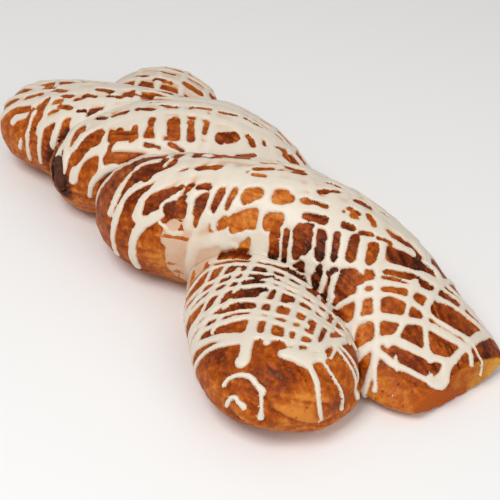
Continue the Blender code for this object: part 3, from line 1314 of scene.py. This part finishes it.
# The icing by where it lies. Most strokes go one of two ways, because the bag was swung to and
# fro and then across: over the loaf at about 50 degrees to +X, and back at about -35 degrees.
# Where they ran together, wide low strokes make the sheet. On the backs they lie farther apart,
# because the bag turned round there.
STROKES = {
    "cut end, along": (
        Stroke(1.6, ((99, 52), (106, 55), (113, 60), (120, 64), (127, 65)), (0, 3)),
        Stroke(1.3, ((106, 44), (110, 50), (115, 57), (121, 63))),
        Stroke(1.9, ((80, 3), (86, 10), (92, 18), (98, 28), (103, 41), (108, 52))),
        Stroke(0.8, ((99, 24), (102, 28), (109, 39))),
        Stroke(1.7, ((93, 4), (98, 15), (106, 28), (112, 40), (118, 50), (125, 60), (129, 63))),
        Stroke(1.5, ((97, 3), (101, 11), (107, 21), (116, 33), (124, 39), (132, 47), (135, 50))),
        Stroke(1.9, ((105, 2), (112, 14), (120, 26), (124, 33), (130, 39), (135, 44))),
        Stroke(2.2, ((114, -4), (119, 5), (122, 15), (130, 22), (136, 28), (140, 33))),
        Stroke(1.6, ((122, 9), (127, 11), (132, 13), (140, 19), (144, 23))),
        Stroke(2.1, ((129, 64), (132, 57), (136, 48), (139, 40), (143, 31), (145, 25)), (3, 0)),
    ),
    "cut end, across": (
        Stroke(1.5, ((74, 19), (79, 13), (84, 8), (88, 2))),
        Stroke(1.5, ((77, 26), (84, 17), (91, 7), (99, -2))),
        Stroke(1.8, ((78, 31), (88, 22), (97, 17), (106, 10), (110, 5), (114, 1))),
        Stroke(1.7, ((85, 38), (93, 29), (105, 20), (117, 13), (124, 8), (129, 1)), (0, 5)),
        Stroke(1.3, ((123, 9), (127, 6), (131, 4)), (0, 4), bulb=0.2),
        Stroke(1.5, ((103, 43), (111, 34), (117, 28), (122, 21), (124, 14))),
        Stroke(1.5, ((111, 48), (117, 39), (124, 33), (131, 29), (137, 27))),
        Stroke(0.8, ((129, 15), (133, 13), (137, 10)), (0, 7), bulb=0.3),
        Stroke(0.9, ((134, 50), (137, 50), (141, 50)), (0, 9), bulb=0.2),
        Stroke(1.4, ((140, 32), (145, 30), (147, 26), (145, 22), (142, 24)), height=1.8),
        Stroke(1.3, ((137, 46), (140, 46), (142, 45)), (0, 2)),
        Stroke(1.7, ((99, 50), (102, 53), (105, 53)), height=2.2),
    ),
    "rounded end, along": (
        Stroke(1.3, ((50, -40), (50, -33), (57, -25), (66, -16), (76, -8), (86, -2)), (8, 0)),
        Stroke(1.3, ((58, -44), (60, -37), (66, -26), (74, -16), (84, -9), (99, -3)), (12, 0)),
        Stroke(1.3, ((63, -46), (65, -38), (70, -29), (77, -19), (86, -12), (98, -5)), (12, 0)),
        Stroke(1.5, ((67, -48), (69, -41), (75, -31), (81, -21), (90, -14), (105, -6)), (13, 0)),
        Stroke(1.6, ((76, -51), (79, -43), (86, -31), (94, -22), (103, -15), (115, -9)), (13, 0)),
        Stroke(1.4, ((80, -53), (84, -45), (91, -36), (98, -29), (105, -23), (112, -19)), (14, 0)),
        Stroke(1.6, ((84, -55), (89, -47), (96, -36), (104, -30), (112, -25), (119, -20)), (14, 0)),
        Stroke(1.2, ((96, -18), (104, -12), (112, -7), (120, -3))),
        Stroke(1.1, ((88, -8), (98, -3), (108, 0), (117, 0)), (0, 3)),
        Stroke(2.0, ((88, -58), (96, -52), (104, -45), (111, -37)), (13, 0)),
        Stroke(1.4, ((108, -41), (113, -35), (119, -28), (124, -20))),
        Stroke(1.8, ((125, -29), (124, -23), (122, -14), (120, -6)), height=1.6),
        Stroke(1.5, ((94, -62), (96, -59), (101, -53), (106, -47)), (10, 0)),
    ),
    "rounded end, across": (
        Stroke(1.2, ((50, -31), (57, -38), (63, -46)), (0, 10)),
        Stroke(1.4, ((56, -27), (64, -37), (70, -44), (77, -53)), (0, 8)),
        Stroke(1.6, ((63, -25), (70, -34), (78, -46), (84, -55)), (0, 8)),
        Stroke(1.4, ((62, -17), (70, -26), (77, -35), (83, -43), (90, -52)), (0, 0)),
        Stroke(2.0, ((70, -13), (80, -19), (88, -28), (96, -35), (104, -42), (110, -47))),
        Stroke(2.8, ((105, -42), (109, -46), (114, -50), (115, -52)), height=1.6),
        Stroke(1.6, ((78, -9), (88, -19), (98, -28), (108, -36), (113, -39))),
        Stroke(1.5, ((84, -4), (94, -13), (103, -21), (112, -29), (118, -32))),
        Stroke(1.4, ((92, -1), (101, -9), (108, -17), (116, -26), (121, -30))),
        Stroke(1.4, ((98, 1), (108, -9), (116, -17), (124, -24))),
        Stroke(1.2, ((104, 1), (113, -8), (121, -16), (127, -22))),
        Stroke(1.1, ((111, 1), (118, -5), (124, -12), (129, -18)), (0, 0)),
    ),
    "rounded end, blob and drips": (
        Stroke(3.0, ((123, -34), (125, -32), (127, -31), (128, -29)), height=2.3),
        Stroke(1.6, ((121, -37), (122, -37), (122, -36)), height=1.8),
        Stroke(2.2, ((126, -31), (128, -25), (128, -21)), height=1.8),
        Stroke(1.5, ((129, -30), (132, -29), (136, -29), (139, -30)), (0, 14), bulb=0.25),
        Stroke(0.9, ((128, -23), (132, -22), (136, -21), (139, -19)), (0, 9), bulb=0.3),
        Stroke(1.1, ((126, -12), (129, -11), (131, -10)), (0, 16), bulb=0.3),
        Stroke(0.8, ((124, -10), (127, -8), (129, -7)), (0, 10)),
        Stroke(1.3, ((117, -61), (117, -58), (119, -55), (123, -52), (127, -51), (130, -50))),
        Stroke(1.1, ((129, -50), (130, -51), (132, -52)), (0, 6), bulb=0.5),
        Stroke(1.2, ((121, -63), (123, -60), (125, -59), (128, -58)), bulb=0.35),
    ),
    "big lobe, along": (
        Stroke(2.8, ((-12, -14), (-22, -22), (-30, -31), (-31, -40), (-31, -48), (-36, -52)),
               (0, 10)),
        Stroke(1.9, ((8, -14), (0, -24), (-8, -31), (-12, -37), (-11, -43), (-8, -49), (-6, -54)),
               (0, 6), bulb=0.2),
        Stroke(2.2, ((34, 12), (22, 1), (14, -9), (9, -20), (5, -33), (0, -45), (-1, -52),
                     (0, -57)), (0, 18)),
        Stroke(2.4, ((50, 12), (38, 0), (31, -12), (27, -22), (22, -34), (18, -43), (13, -51),
                     (11, -56)), (0, 18)),
        Stroke(2.3, ((28, -6), (20, -17), (13, -28), (9, -38), (8, -45), (10, -50))),
        Stroke(2.4, ((24, -18), (30, -12), (38, -5), (46, 6), (54, 17), (60, 30))),
        Stroke(2.9, ((72, 19), (62, 7), (53, -2), (45, -9), (38, -21), (33, -31))),
        Stroke(0.9, ((30, -37), (27, -40), (23, -42), (21, -43)), bulb=0.3),
        Stroke(2.5, ((32, -38), (40, -27), (50, -15), (58, -7), (66, 7), (78, 19), (88, 31))),
        Stroke(1.3, ((41, -26), (48, -20), (55, -15), (60, -10))),
        Stroke(2.2, ((30, 0), (40, 10), (47, 18), (53, 27), (58, 36))),
        Stroke(2.2, ((54, 10), (63, 19), (69, 28), (76, 37), (84, 47))),
        Stroke(2.6, ((60, 8), (70, 17), (77, 25), (86, 35), (94, 45))),
        Stroke(3.0, ((44, 22), (52, 31), (61, 39), (70, 46), (80, 51), (90, 54))),
        Stroke(2.4, ((66, 38), (76, 45), (86, 50), (96, 53))),
        Stroke(2.6, ((36, 29), (46, 38), (57, 46), (68, 52), (80, 57))),
        Stroke(1.8, ((20, 6), (30, 14), (38, 22), (44, 30))),
        Stroke(1.5, ((45, -29), (53, -22), (60, -15), (66, -10), (72, -4), (79, 1))),
    ),
    "big lobe, across": (
        Stroke(1.8, ((-14, -18), (-7, -24), (0, -30))),
        Stroke(2.2, ((-4, -14), (4, -22), (8, -30), (9, -38))),
        Stroke(2.2, ((6, -10), (12, -20), (18, -31), (18, -40))),
        Stroke(1.7, ((14, -10), (22, -22), (26, -29), (31, -34))),
        Stroke(1.7, ((22, -7), (30, -19), (33, -27), (35, -33))),
        Stroke(1.7, ((28, -3), (34, -14), (38, -22), (39, -25))),
        Stroke(1.7, ((30, 3), (37, -9), (42, -17), (46, -23))),
        Stroke(2.7, ((37, 7), (46, -1), (52, -7), (58, -12))),
        Stroke(2.4, ((44, 14), (55, 7), (61, -1), (65, -7))),
        Stroke(1.3, ((57, 8), (62, 4), (66, 0), (69, -3))),
        Stroke(1.7, ((50, 19), (62, 14), (70, 9), (76, 3), (83, 0))),
        Stroke(1.3, ((62, 24), (72, 16), (79, 11), (86, 7))),
        Stroke(1.5, ((66, 31), (76, 21), (83, 15), (92, 5))),
        Stroke(2.4, ((56, 25), (66, 22), (73, 19))),
        Stroke(2.2, ((60, 36), (70, 32), (79, 30))),
        Stroke(2.2, ((70, 42), (80, 38), (88, 33))),
    ),
    "big lobe, thin smears": (
        Stroke(3.2, ((34, -30), (31, -35), (29, -38)), (0, 22), height=0.35),
        Stroke(3.4, ((36, -29), (33, -34), (31, -38)), (0, 26), height=0.3),
        Stroke(3.4, ((38, -29), (36, -34), (34, -38)), (0, 20), height=0.3),
        Stroke(2.6, ((32, -32), (30, -35), (27, -37)), (0, 12), height=0.35),
        Stroke(1.3, ((60, -10), (66, -7), (70, -3), (74, 1), (79, 4), (84, 9), (88, 14),
                     (92, 20), (96, 27))),
        Stroke(5.0, ((44, -22), (52, -15), (60, -8), (67, -2), (74, 5), (81, 11), (88, 19),
                     (94, 28)),
               height=0.8),
        Stroke(4.6, ((33, -40), (38, -32), (46, -24)), height=0.4),
        Stroke(4.6, ((34, -46), (39, -38), (44, -31)), height=0.3),
        Stroke(4.2, ((31, -51), (36, -45), (41, -38)), (9, 0), height=0.3),
        Stroke(5.0, ((45, 13), (56, 22), (66, 32), (76, 40)), height=0.6),
        Stroke(4.0, ((30, 4), (40, 12), (50, 24)), height=0.45),
        Stroke(4.0, ((6, -22), (14, -12), (24, -3)), height=0.35),
        Stroke(3.6, ((10, -34), (18, -24), (28, -14)), height=0.35),
    ),
    "slit lobe, along": (
        Stroke(2.2, ((-70, -56), (-75, -38), (-69, -17), (-57, -4), (-40, 17), (-20, 32)), (6, 0)),
        Stroke(2.0, ((-63, -52), (-62, -38), (-54, -20), (-43, 0), (-27, 14), (-8, 37)), (6, 0)),
        Stroke(2.6, ((-53, -50), (-48, -41), (-34, -23), (-20, -4), (-8, 17), (3, 33)), (12, 0)),
        Stroke(2.0, ((-43, -50), (-38, -40), (-29, -26), (-17, -3), (-4, 20), (5, 36)), (8, 0)),
        Stroke(2.0, ((-72, -30), (-64, -14), (-50, 4), (-33, 19), (-16, 35))),
        Stroke(2.2, ((-58, 5), (-46, 20), (-34, 30), (-22, 39), (-8, 44))),
        Stroke(2.0, ((-68, -2), (-56, 14), (-44, 28), (-32, 38))),
        Stroke(2.2, ((-26, 24), (-14, 36), (-2, 43), (8, 44))),
        Stroke(1.5, ((-30, 10), (-18, 22), (-6, 34))),
        Stroke(6.5, ((-72, -22), (-58, -6), (-44, 10), (-30, 22), (-16, 32)), height=0.8),
        Stroke(6.5, ((-68, -36), (-56, -26), (-44, -16), (-34, -6), (-24, 5), (-14, 17), (-6, 29)),
               height=1.0),
        Stroke(3.0, ((-48, -42), (-38, -28), (-28, -16), (-18, -4), (-8, 10), (2, 26)), height=0.6),
    ),
    "slit lobe, across": (
        Stroke(2.4, ((-84, -38), (-78, -45), (-70, -51), (-62, -57)), (0, 4)),
        Stroke(1.9, ((-73, -37), (-64, -46), (-54, -56)), (0, 4)),
        Stroke(1.7, ((-76, -26), (-62, -33), (-50, -40), (-42, -46))),
        Stroke(1.5, ((-64, -12), (-54, -17), (-44, -22), (-36, -27))),
        Stroke(1.7, ((-58, -4), (-48, -9), (-39, -14), (-31, -19))),
        Stroke(1.6, ((-52, 4), (-42, 0), (-32, -4), (-24, -9))),
        Stroke(1.4, ((-44, 10), (-36, 6), (-28, 2), (-20, -3))),
        Stroke(1.5, ((-38, 16), (-28, 10), (-20, 5), (-14, 0))),
        Stroke(1.9, ((-32, 27), (-22, 21), (-12, 18), (-4, 12))),
        Stroke(1.6, ((-22, 32), (-12, 26), (-2, 20), (6, 14))),
        Stroke(1.6, ((-12, 36), (-4, 31), (4, 26), (12, 22))),
        Stroke(1.6, ((-56, 20), (-44, 13), (-34, 7))),
        Stroke(1.6, ((-44, 34), (-32, 26), (-20, 18))),
    ),
    "far lobe": (
        Stroke(1.9, ((-134, -60), (-124, -52), (-116, -42), (-107, -30), (-97, -16),
                     (-88, -4)), (4, 0)),
        Stroke(2.1, ((-128, -66), (-120, -58), (-104, -45), (-97, -32), (-86, -14), (-79, 4)),
               (4, 0)),
        Stroke(2.0, ((-113, -62), (-103, -54), (-92, -43), (-83, -31), (-74, -16)), (5, 0)),
        Stroke(1.9, ((-104, -64), (-96, -57), (-88, -48), (-81, -36)), (6, 0)),
        Stroke(1.7, ((-138, -50), (-130, -40), (-120, -28), (-110, -18))),
        Stroke(1.7, ((-128, -30), (-118, -20), (-106, -10), (-94, -2))),
        Stroke(1.7, ((-133, -44), (-122, -47), (-110, -54), (-100, -63)), (0, 6)),
        Stroke(1.7, ((-124, -35), (-110, -42), (-99, -51), (-91, -60)), (0, 6)),
        Stroke(2.2, ((-114, -27), (-101, -35), (-90, -45), (-84, -53)), (0, 6)),
        Stroke(1.9, ((-105, -19), (-92, -27), (-82, -36), (-76, -43))),
        Stroke(1.8, ((-96, -10), (-84, -18), (-74, -26), (-66, -32))),
        Stroke(1.7, ((-86, -3), (-76, -9), (-66, -16), (-56, -22))),
        Stroke(7.0, ((-122, -52), (-110, -42), (-98, -32), (-86, -20)), height=0.9),
        Stroke(5.5, ((-108, -20), (-98, -14), (-88, -8)), height=0.9),
        Stroke(2.6, ((-96, -58), (-90, -48), (-84, -38), (-78, -26)), height=0.7),
    ),
    "far end": (
        Stroke(1.6, ((-132, 4), (-122, 16), (-110, 30), (-98, 42)), (4, 6)),
        Stroke(1.6, ((-122, -2), (-110, 10), (-98, 24), (-88, 38)), (0, 6)),
        Stroke(1.6, ((-108, -6), (-98, 6), (-88, 20), (-78, 32))),
        Stroke(1.5, ((-134, 20), (-120, 12), (-106, 3), (-96, -6)), (4, 0)),
        Stroke(1.6, ((-126, 30), (-112, 21), (-98, 12), (-84, 3)), (4, 0)),
        Stroke(1.5, ((-116, 40), (-102, 30), (-88, 21), (-76, 12)), (5, 0)),
        Stroke(1.5, ((-102, 46), (-90, 37), (-78, 28)), (5, 0)),
        Stroke(7.5, ((-124, 4), (-112, 14), (-100, 25), (-90, 34)), height=0.7),
        Stroke(1.5, ((-137, 10), (-130, 23), (-119, 36), (-106, 46)), (5, 5)),
    ),
    "back of the big lobe": (
        Stroke(1.8, ((36, 22), (43, 32), (52, 41), (63, 50), (76, 58), (89, 63)), (0, 4)),
        Stroke(1.6, ((24, 14), (30, 22), (36, 31), (44, 41), (52, 49)), (0, 6)),
        Stroke(1.7, ((46, 20), (38, 27), (31, 32)), (0, 3)),
        Stroke(1.7, ((60, 35), (52, 42), (46, 47)), (0, 9)),
        Stroke(1.6, ((72, 43), (64, 51), (58, 57)), (0, 9)),
        Stroke(1.6, ((86, 47), (78, 55), (72, 62)), (0, 8)),
        Stroke(1.5, ((98, 49), (92, 57), (87, 64)), (0, 10)),
        Stroke(1.6, ((109, 50), (105, 58), (101, 65)), (0, 7)),
        Stroke(1.4, ((119, 56), (117, 61), (115, 66)), (0, 9)),
    ),
    "back of the slit lobe": (
        Stroke(1.8, ((-50, 18), (-42, 31), (-31, 42), (-18, 49), (-3, 52), (10, 50)), (0, 3)),
        Stroke(1.6, ((-28, 32), (-36, 39), (-42, 44)), (0, 8)),
        Stroke(1.6, ((-16, 36), (-24, 43), (-30, 49)), (0, 7)),
        Stroke(1.5, ((-4, 40), (-11, 47), (-17, 52)), (0, 10)),
        Stroke(1.6, ((8, 38), (2, 46), (-3, 53)), (0, 7)),
        Stroke(1.5, ((18, 34), (14, 42), (10, 49)), (0, 9)),
        Stroke(1.5, ((-2, 24), (8, 34), (18, 42), (26, 45)), (0, 4)),
    ),
    "between the far end and the slit lobe": (
        Stroke(1.8, ((-90, -2), (-80, 12), (-70, 25), (-60, 38), (-49, 48)), (0, 5)),
        Stroke(1.6, ((-78, -4), (-68, 8), (-59, 22), (-52, 34)), (0, 0)),
        Stroke(1.6, ((-64, 4), (-73, 13), (-80, 19)), (0, 3)),
        Stroke(1.5, ((-57, 16), (-65, 25), (-72, 31)), (0, 6)),
        Stroke(1.6, ((-50, 30), (-57, 38), (-63, 43)), (0, 7)),
    ),
    "back of the far lobe": (
        Stroke(1.7, ((-106, -14), (-119, -21), (-132, -27)), (0, 6)),
        Stroke(1.6, ((-114, -28), (-127, -35), (-139, -41)), (0, 7)),
        Stroke(1.6, ((-124, -44), (-134, -49), (-142, -53)), (0, 6)),
    ),
}


# Bare patches that stayed open where the icing lies as a sheet.
GAPS = (
    # the big lobe
    Gap((-4, -28), (0, -39), 2.4), Gap((-14, -42), (-13, -50), 2.6), Gap((-1, -23), (3, -28), 1.1),
    Gap((4, -17), (13, -8), 1.0), Gap((5, -42), (1, -51), 1.0), Gap((14, -39), (13, -45), 1.2),
    Gap((17, -34), (18, -30), 1.0), Gap((15, -20), (21, -12), 1.4), Gap((22, -33), (23, -31), 0.5),
    Gap((24, -25), (27, -21), 1.3), Gap((24, -34), (20, -39), 1.9), Gap((30, -24), (33, -31), 1.2),
    Gap((34, -17), (36, -23), 0.7), Gap((37, -13), (39, -18), 0.9), Gap((42, -10), (44, -5), 2.1),
    Gap((45, -18), (49, -12), 2.2), Gap((41, -23), (43, -20), 0.9), Gap((50, -20), (53, -15), 0.9),
    Gap((47, -25), (56, -17), 1.9), Gap((55, -6), (58, -2), 2.2), Gap((51, 1), (54, 6), 1.8),
    Gap((31, 1), (35, 7), 1.5), Gap((34, -2), (38, 2), 0.6), Gap((37, 9), (38, 11), 0.7),
    Gap((41, 15), (43, 20), 1.2), Gap((27, 6), (31, 11), 0.7), Gap((25, 17), (30, 24), 1.3),
    Gap((52, 26), (53, 28), 0.6), Gap((54, 29), (57, 32), 0.6), Gap((57, 19), (59, 28), 1.1),
    Gap((58, 11), (65, 18), 0.8), Gap((64, 8), (70, 14), 1.6), Gap((66, 4), (69, 9), 0.8),
    Gap((66, 33), (69, 38), 1.5), Gap((70, 27), (73, 30), 1.1), Gap((76, 21), (78, 23), 1.6),
    Gap((75, 34), (78, 34), 1.2), Gap((82, 26), (84, 30), 1.0), Gap((84, 39), (88, 43), 0.9),
    Gap((86, 32), (89, 37), 0.8), Gap((69, 43), (73, 46), 0.6), Gap((63, 39), (67, 42), 0.5),
    # beside the seam with the near ends
    Gap((60, -5), (63, -7), 2.3), Gap((63, -1), (67, -4), 1.2), Gap((67, 3), (70, 1), 2.4),
    Gap((69, 6), (72, 4), 2.5), Gap((75, 10), (79, 7), 2.0), Gap((78, 16), (84, 11), 1.4),
    Gap((83, 22), (88, 17), 2.2), Gap((89, 28), (93, 24), 2.2), Gap((94, 35), (99, 46), 2.2),
    Gap((95, 33), (101, 43), 1.9), Gap((73, -6), (79, -2), 1.5), Gap((82, 5), (84, 2), 1.5),
    Gap((86, 7), (88, 10), 0.8),
    # the near ends
    Gap((94, 8), (97, 16), 2.0), Gap((98, 19), (99, 21), 1.0), Gap((100, 28), (106, 41), 0.7),
    Gap((77, -39), (83, -23), 1.1), Gap((83, -44), (90, -33), 1.2), Gap((73, -28), (76, -15), 0.8),
    # the slit lobe
    Gap((-57, -40), (-57, -52), 3.2), Gap((-51, -31), (-47, -36), 1.6),
    Gap((-46, -38), (-43, -42), 1.0), Gap((-47, -24), (-41, -29), 1.1),
    Gap((-46, -15), (-39, -20), 1.4), Gap((-38, -7), (-32, -10), 3.0),
    Gap((-33, 0), (-25, -4), 1.5), Gap((-29, 7), (-24, 3), 1.0), Gap((-18, 9), (-16, 15), 2.8),
    Gap((-14, 22), (-9, 22), 1.4), Gap((-11, 29), (-8, 28), 0.6), Gap((-6, 33), (-5, 37), 0.8),
    Gap((-71, -34), (-65, -32), 1.4), Gap((-64, -28), (-61, -22), 1.3),
    Gap((-70, -42), (-66, -44), 1.0), Gap((-59, -17), (-53, -12), 1.2),
    Gap((-54, -6), (-48, 0), 1.0), Gap((-44, 6), (-38, 13), 1.1), Gap((-62, -10), (-58, -4), 0.8),
    Gap((-34, 17), (-29, 23), 0.9), Gap((-26, 27), (-20, 33), 1.0),
    Gap((-28, -14), (-22, -10), 0.8), Gap((-35, -24), (-30, -19), 0.8),
    Gap((-7, 12), (-4, 20), 0.9),
    # the far lobe
    Gap((-106, -48), (-98, -60), 2.1), Gap((-108, -56), (-102, -66), 1.1),
    Gap((-121, -54), (-116, -48), 1.5), Gap((-121, -44), (-114, -40), 1.1),
    Gap((-112, -42), (-104, -38), 1.4), Gap((-101, -41), (-96, -38), 1.3),
    Gap((-94, -45), (-88, -42), 1.2), Gap((-91, -33), (-86, -29), 1.1),
    Gap((-107, -24), (-98, -17), 1.4), Gap((-115, -33), (-110, -28), 1.0),
    Gap((-91, -25), (-85, -20), 1.5), Gap((-82, -23), (-77, -18), 1.1),
    Gap((-80, -14), (-74, -9), 0.9), Gap((-83, -40), (-80, -37), 0.8),
    # the far end
    Gap((-96, 28), (-90, 34), 2.0), Gap((-104, 14), (-98, 20), 1.2),
    Gap((-112, 20), (-107, 26), 1.0), Gap((-116, 8), (-110, 12), 1.1),
    Gap((-98, 6), (-92, 10), 1.0), Gap((-118, 24), (-114, 30), 1.0), Gap((-86, 22), (-82, 28), 1.2),
    Gap((-126, 12), (-122, 18), 0.9),
)


# -------------------------------------------------------------------------------------- pieces


class Filling:
    """One strand's filling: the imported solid, with a grained and lumpy skin."""

    SUNK = 0.3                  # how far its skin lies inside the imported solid
    SWELL = 1.7                 # how far it swells out of the slit
    SLIT_Y = (-45.0, -50.0)     # it swells from the first of these to the second

    grains = Form(0.35, (2.6,))
    small_grains = Form(0.25, (1.5,))

    def __init__(self, node: str, seed: int) -> None:
        """Note which filling it is.

        Args:
            node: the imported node's name.
            seed: which noise makes it lumpy.
        """
        self.node = node
        self.grain = Grain(seed)

    def build(self, voxel: float = 0.8) -> bpy.types.Object:
        """Make the filling.

        Args:
            voxel: edge length of its skin.

        Returns:
            The filling.
        """
        bm = bmesh.new()
        bm.from_mesh(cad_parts[self.node].data)
        bmesh.ops.remove_doubles(bm, verts=bm.verts, dist=1e-6)
        mesh = bpy.data.meshes.new(self.node)
        bm.to_mesh(mesh)
        bm.free()
        mesh = remeshed(mesh, voxel, 1)
        points, normals = points_of(mesh), normals_of(mesh)
        lumps = self.grains.lift(self.grain, points) - self.SUNK
        lumps += self.small_grains.lift(self.grain, points + 7.0)
        lumps += self.SWELL * ramp(*self.SLIT_Y, points[:, 1])
        move_points(mesh, points + normals * lumps[:, None])
        mesh.shade_smooth()
        return new_object(self.node + "_paste", mesh)


@dataclass
class Studio:
    """A pale floor, soft lights and the camera. Lengths are in metres."""

    target: tuple[float, float, float] = (0.0072, -0.0022, 0.020)
    azimuth: float = math.radians(62.0)
    elevation: float = math.radians(34.2)
    distance: float = 0.625
    lens: float = 92.2
    shift: tuple[float, float] = (0.05, -0.05)
    floor_size: float = 6.0
    sky_strength: float = 0.42

    def direction(self, azimuth: float, elevation: float) -> Vector:
        """The way from the pastry to something at these angles, where azimuth 0 is -Y."""
        flat = math.cos(elevation)
        return Vector((math.sin(azimuth) * flat, -math.cos(azimuth) * flat, math.sin(elevation)))

    def camera(self) -> None:
        """Make the camera and use it."""
        data = bpy.data.cameras.new("camera")
        data.lens = self.lens
        data.sensor_width = 36.0
        data.shift_x, data.shift_y = self.shift
        data.clip_start = 0.01
        camera = bpy.data.objects.new("camera", data)
        away = self.direction(self.azimuth, self.elevation)
        camera.location = Vector(self.target) + away * self.distance
        camera.rotation_euler = away.to_track_quat("Z", "Y").to_euler()
        bpy.context.scene.collection.objects.link(camera)
        bpy.context.scene.camera = camera

    def softbox(self, name: str, azimuth: float, elevation: float, distance: float, size: float,
                power: float) -> None:
        """Make one square light that looks at the pastry.

        Args:
            name: its name.
            azimuth: degrees round from -Y.
            elevation: degrees up.
            distance: how far away it is.
            size: its side.
            power: its watts.
        """
        data = bpy.data.lights.new(name, "AREA")
        data.size = size
        data.energy = power
        lamp = bpy.data.objects.new(name, data)
        away = self.direction(math.radians(azimuth), math.radians(elevation))
        lamp.location = Vector(self.target) + away * distance
        lamp.rotation_euler = away.to_track_quat("Z", "Y").to_euler()
        bpy.context.scene.collection.objects.link(lamp)

    def build(self) -> None:
        """Make the floor, the world, the lights and the camera."""
        bm = bmesh.new()
        bmesh.ops.create_grid(bm, x_segments=2, y_segments=2, size=self.floor_size / 2.0)
        mesh = bpy.data.meshes.new("floor")
        bm.to_mesh(mesh)
        bm.free()
        floor = new_object("floor", mesh)
        floor.data.materials.append(PaperFloor().material())
        world = bpy.data.worlds.new("studio")
        bpy.context.scene.world = world
        world.use_nodes = True
        sky = world.node_tree.nodes["Background"]
        sky.inputs["Color"].default_value = linear("FFFFFF")
        sky.inputs["Strength"].default_value = self.sky_strength
        self.softbox("key", azimuth=25.0, elevation=60.0, distance=1.1, size=0.5, power=6.6)
        self.softbox("fill", azimuth=95.0, elevation=30.0, distance=1.3, size=0.9, power=4.4)
        bpy.context.scene.view_settings.view_transform = "Standard"
        self.camera()


def dress(piece: bpy.types.Object, material: bpy.types.Material, slot: str, *nodes: str) -> None:
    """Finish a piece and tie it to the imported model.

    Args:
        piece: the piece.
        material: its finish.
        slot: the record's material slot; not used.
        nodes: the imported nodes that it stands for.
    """
    piece.data.materials.clear()
    piece.data.materials.append(material)
    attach(piece, "root")
    if nodes:
        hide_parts(*nodes)
    piece.data.calc_loop_triangles()
    log.info("%s: %d triangles", piece.name, len(piece.data.loop_triangles))


def main() -> None:
    """Dress the pastry and set up the studio."""
    logging.basicConfig(level=logging.INFO, format="%(relativeCreated)6d ms %(message)s")
    dough = Dough(Cut(), Split())
    loaf = dough.build()
    dress(loaf, BakedCrust().material(), "crust", "dough")
    paste = CinnamonFilling().material()
    for seed, node in ((20, "filling_a"), (21, "filling_b")):
        dress(Filling(node, seed).build(), paste, "filling", node)
    sugar = SugarIcing().material()
    for piece in Icing(dough, loaf).build():
        dress(piece, sugar, "icing")
    Studio().build()


if __name__ == "__main__":
    main()
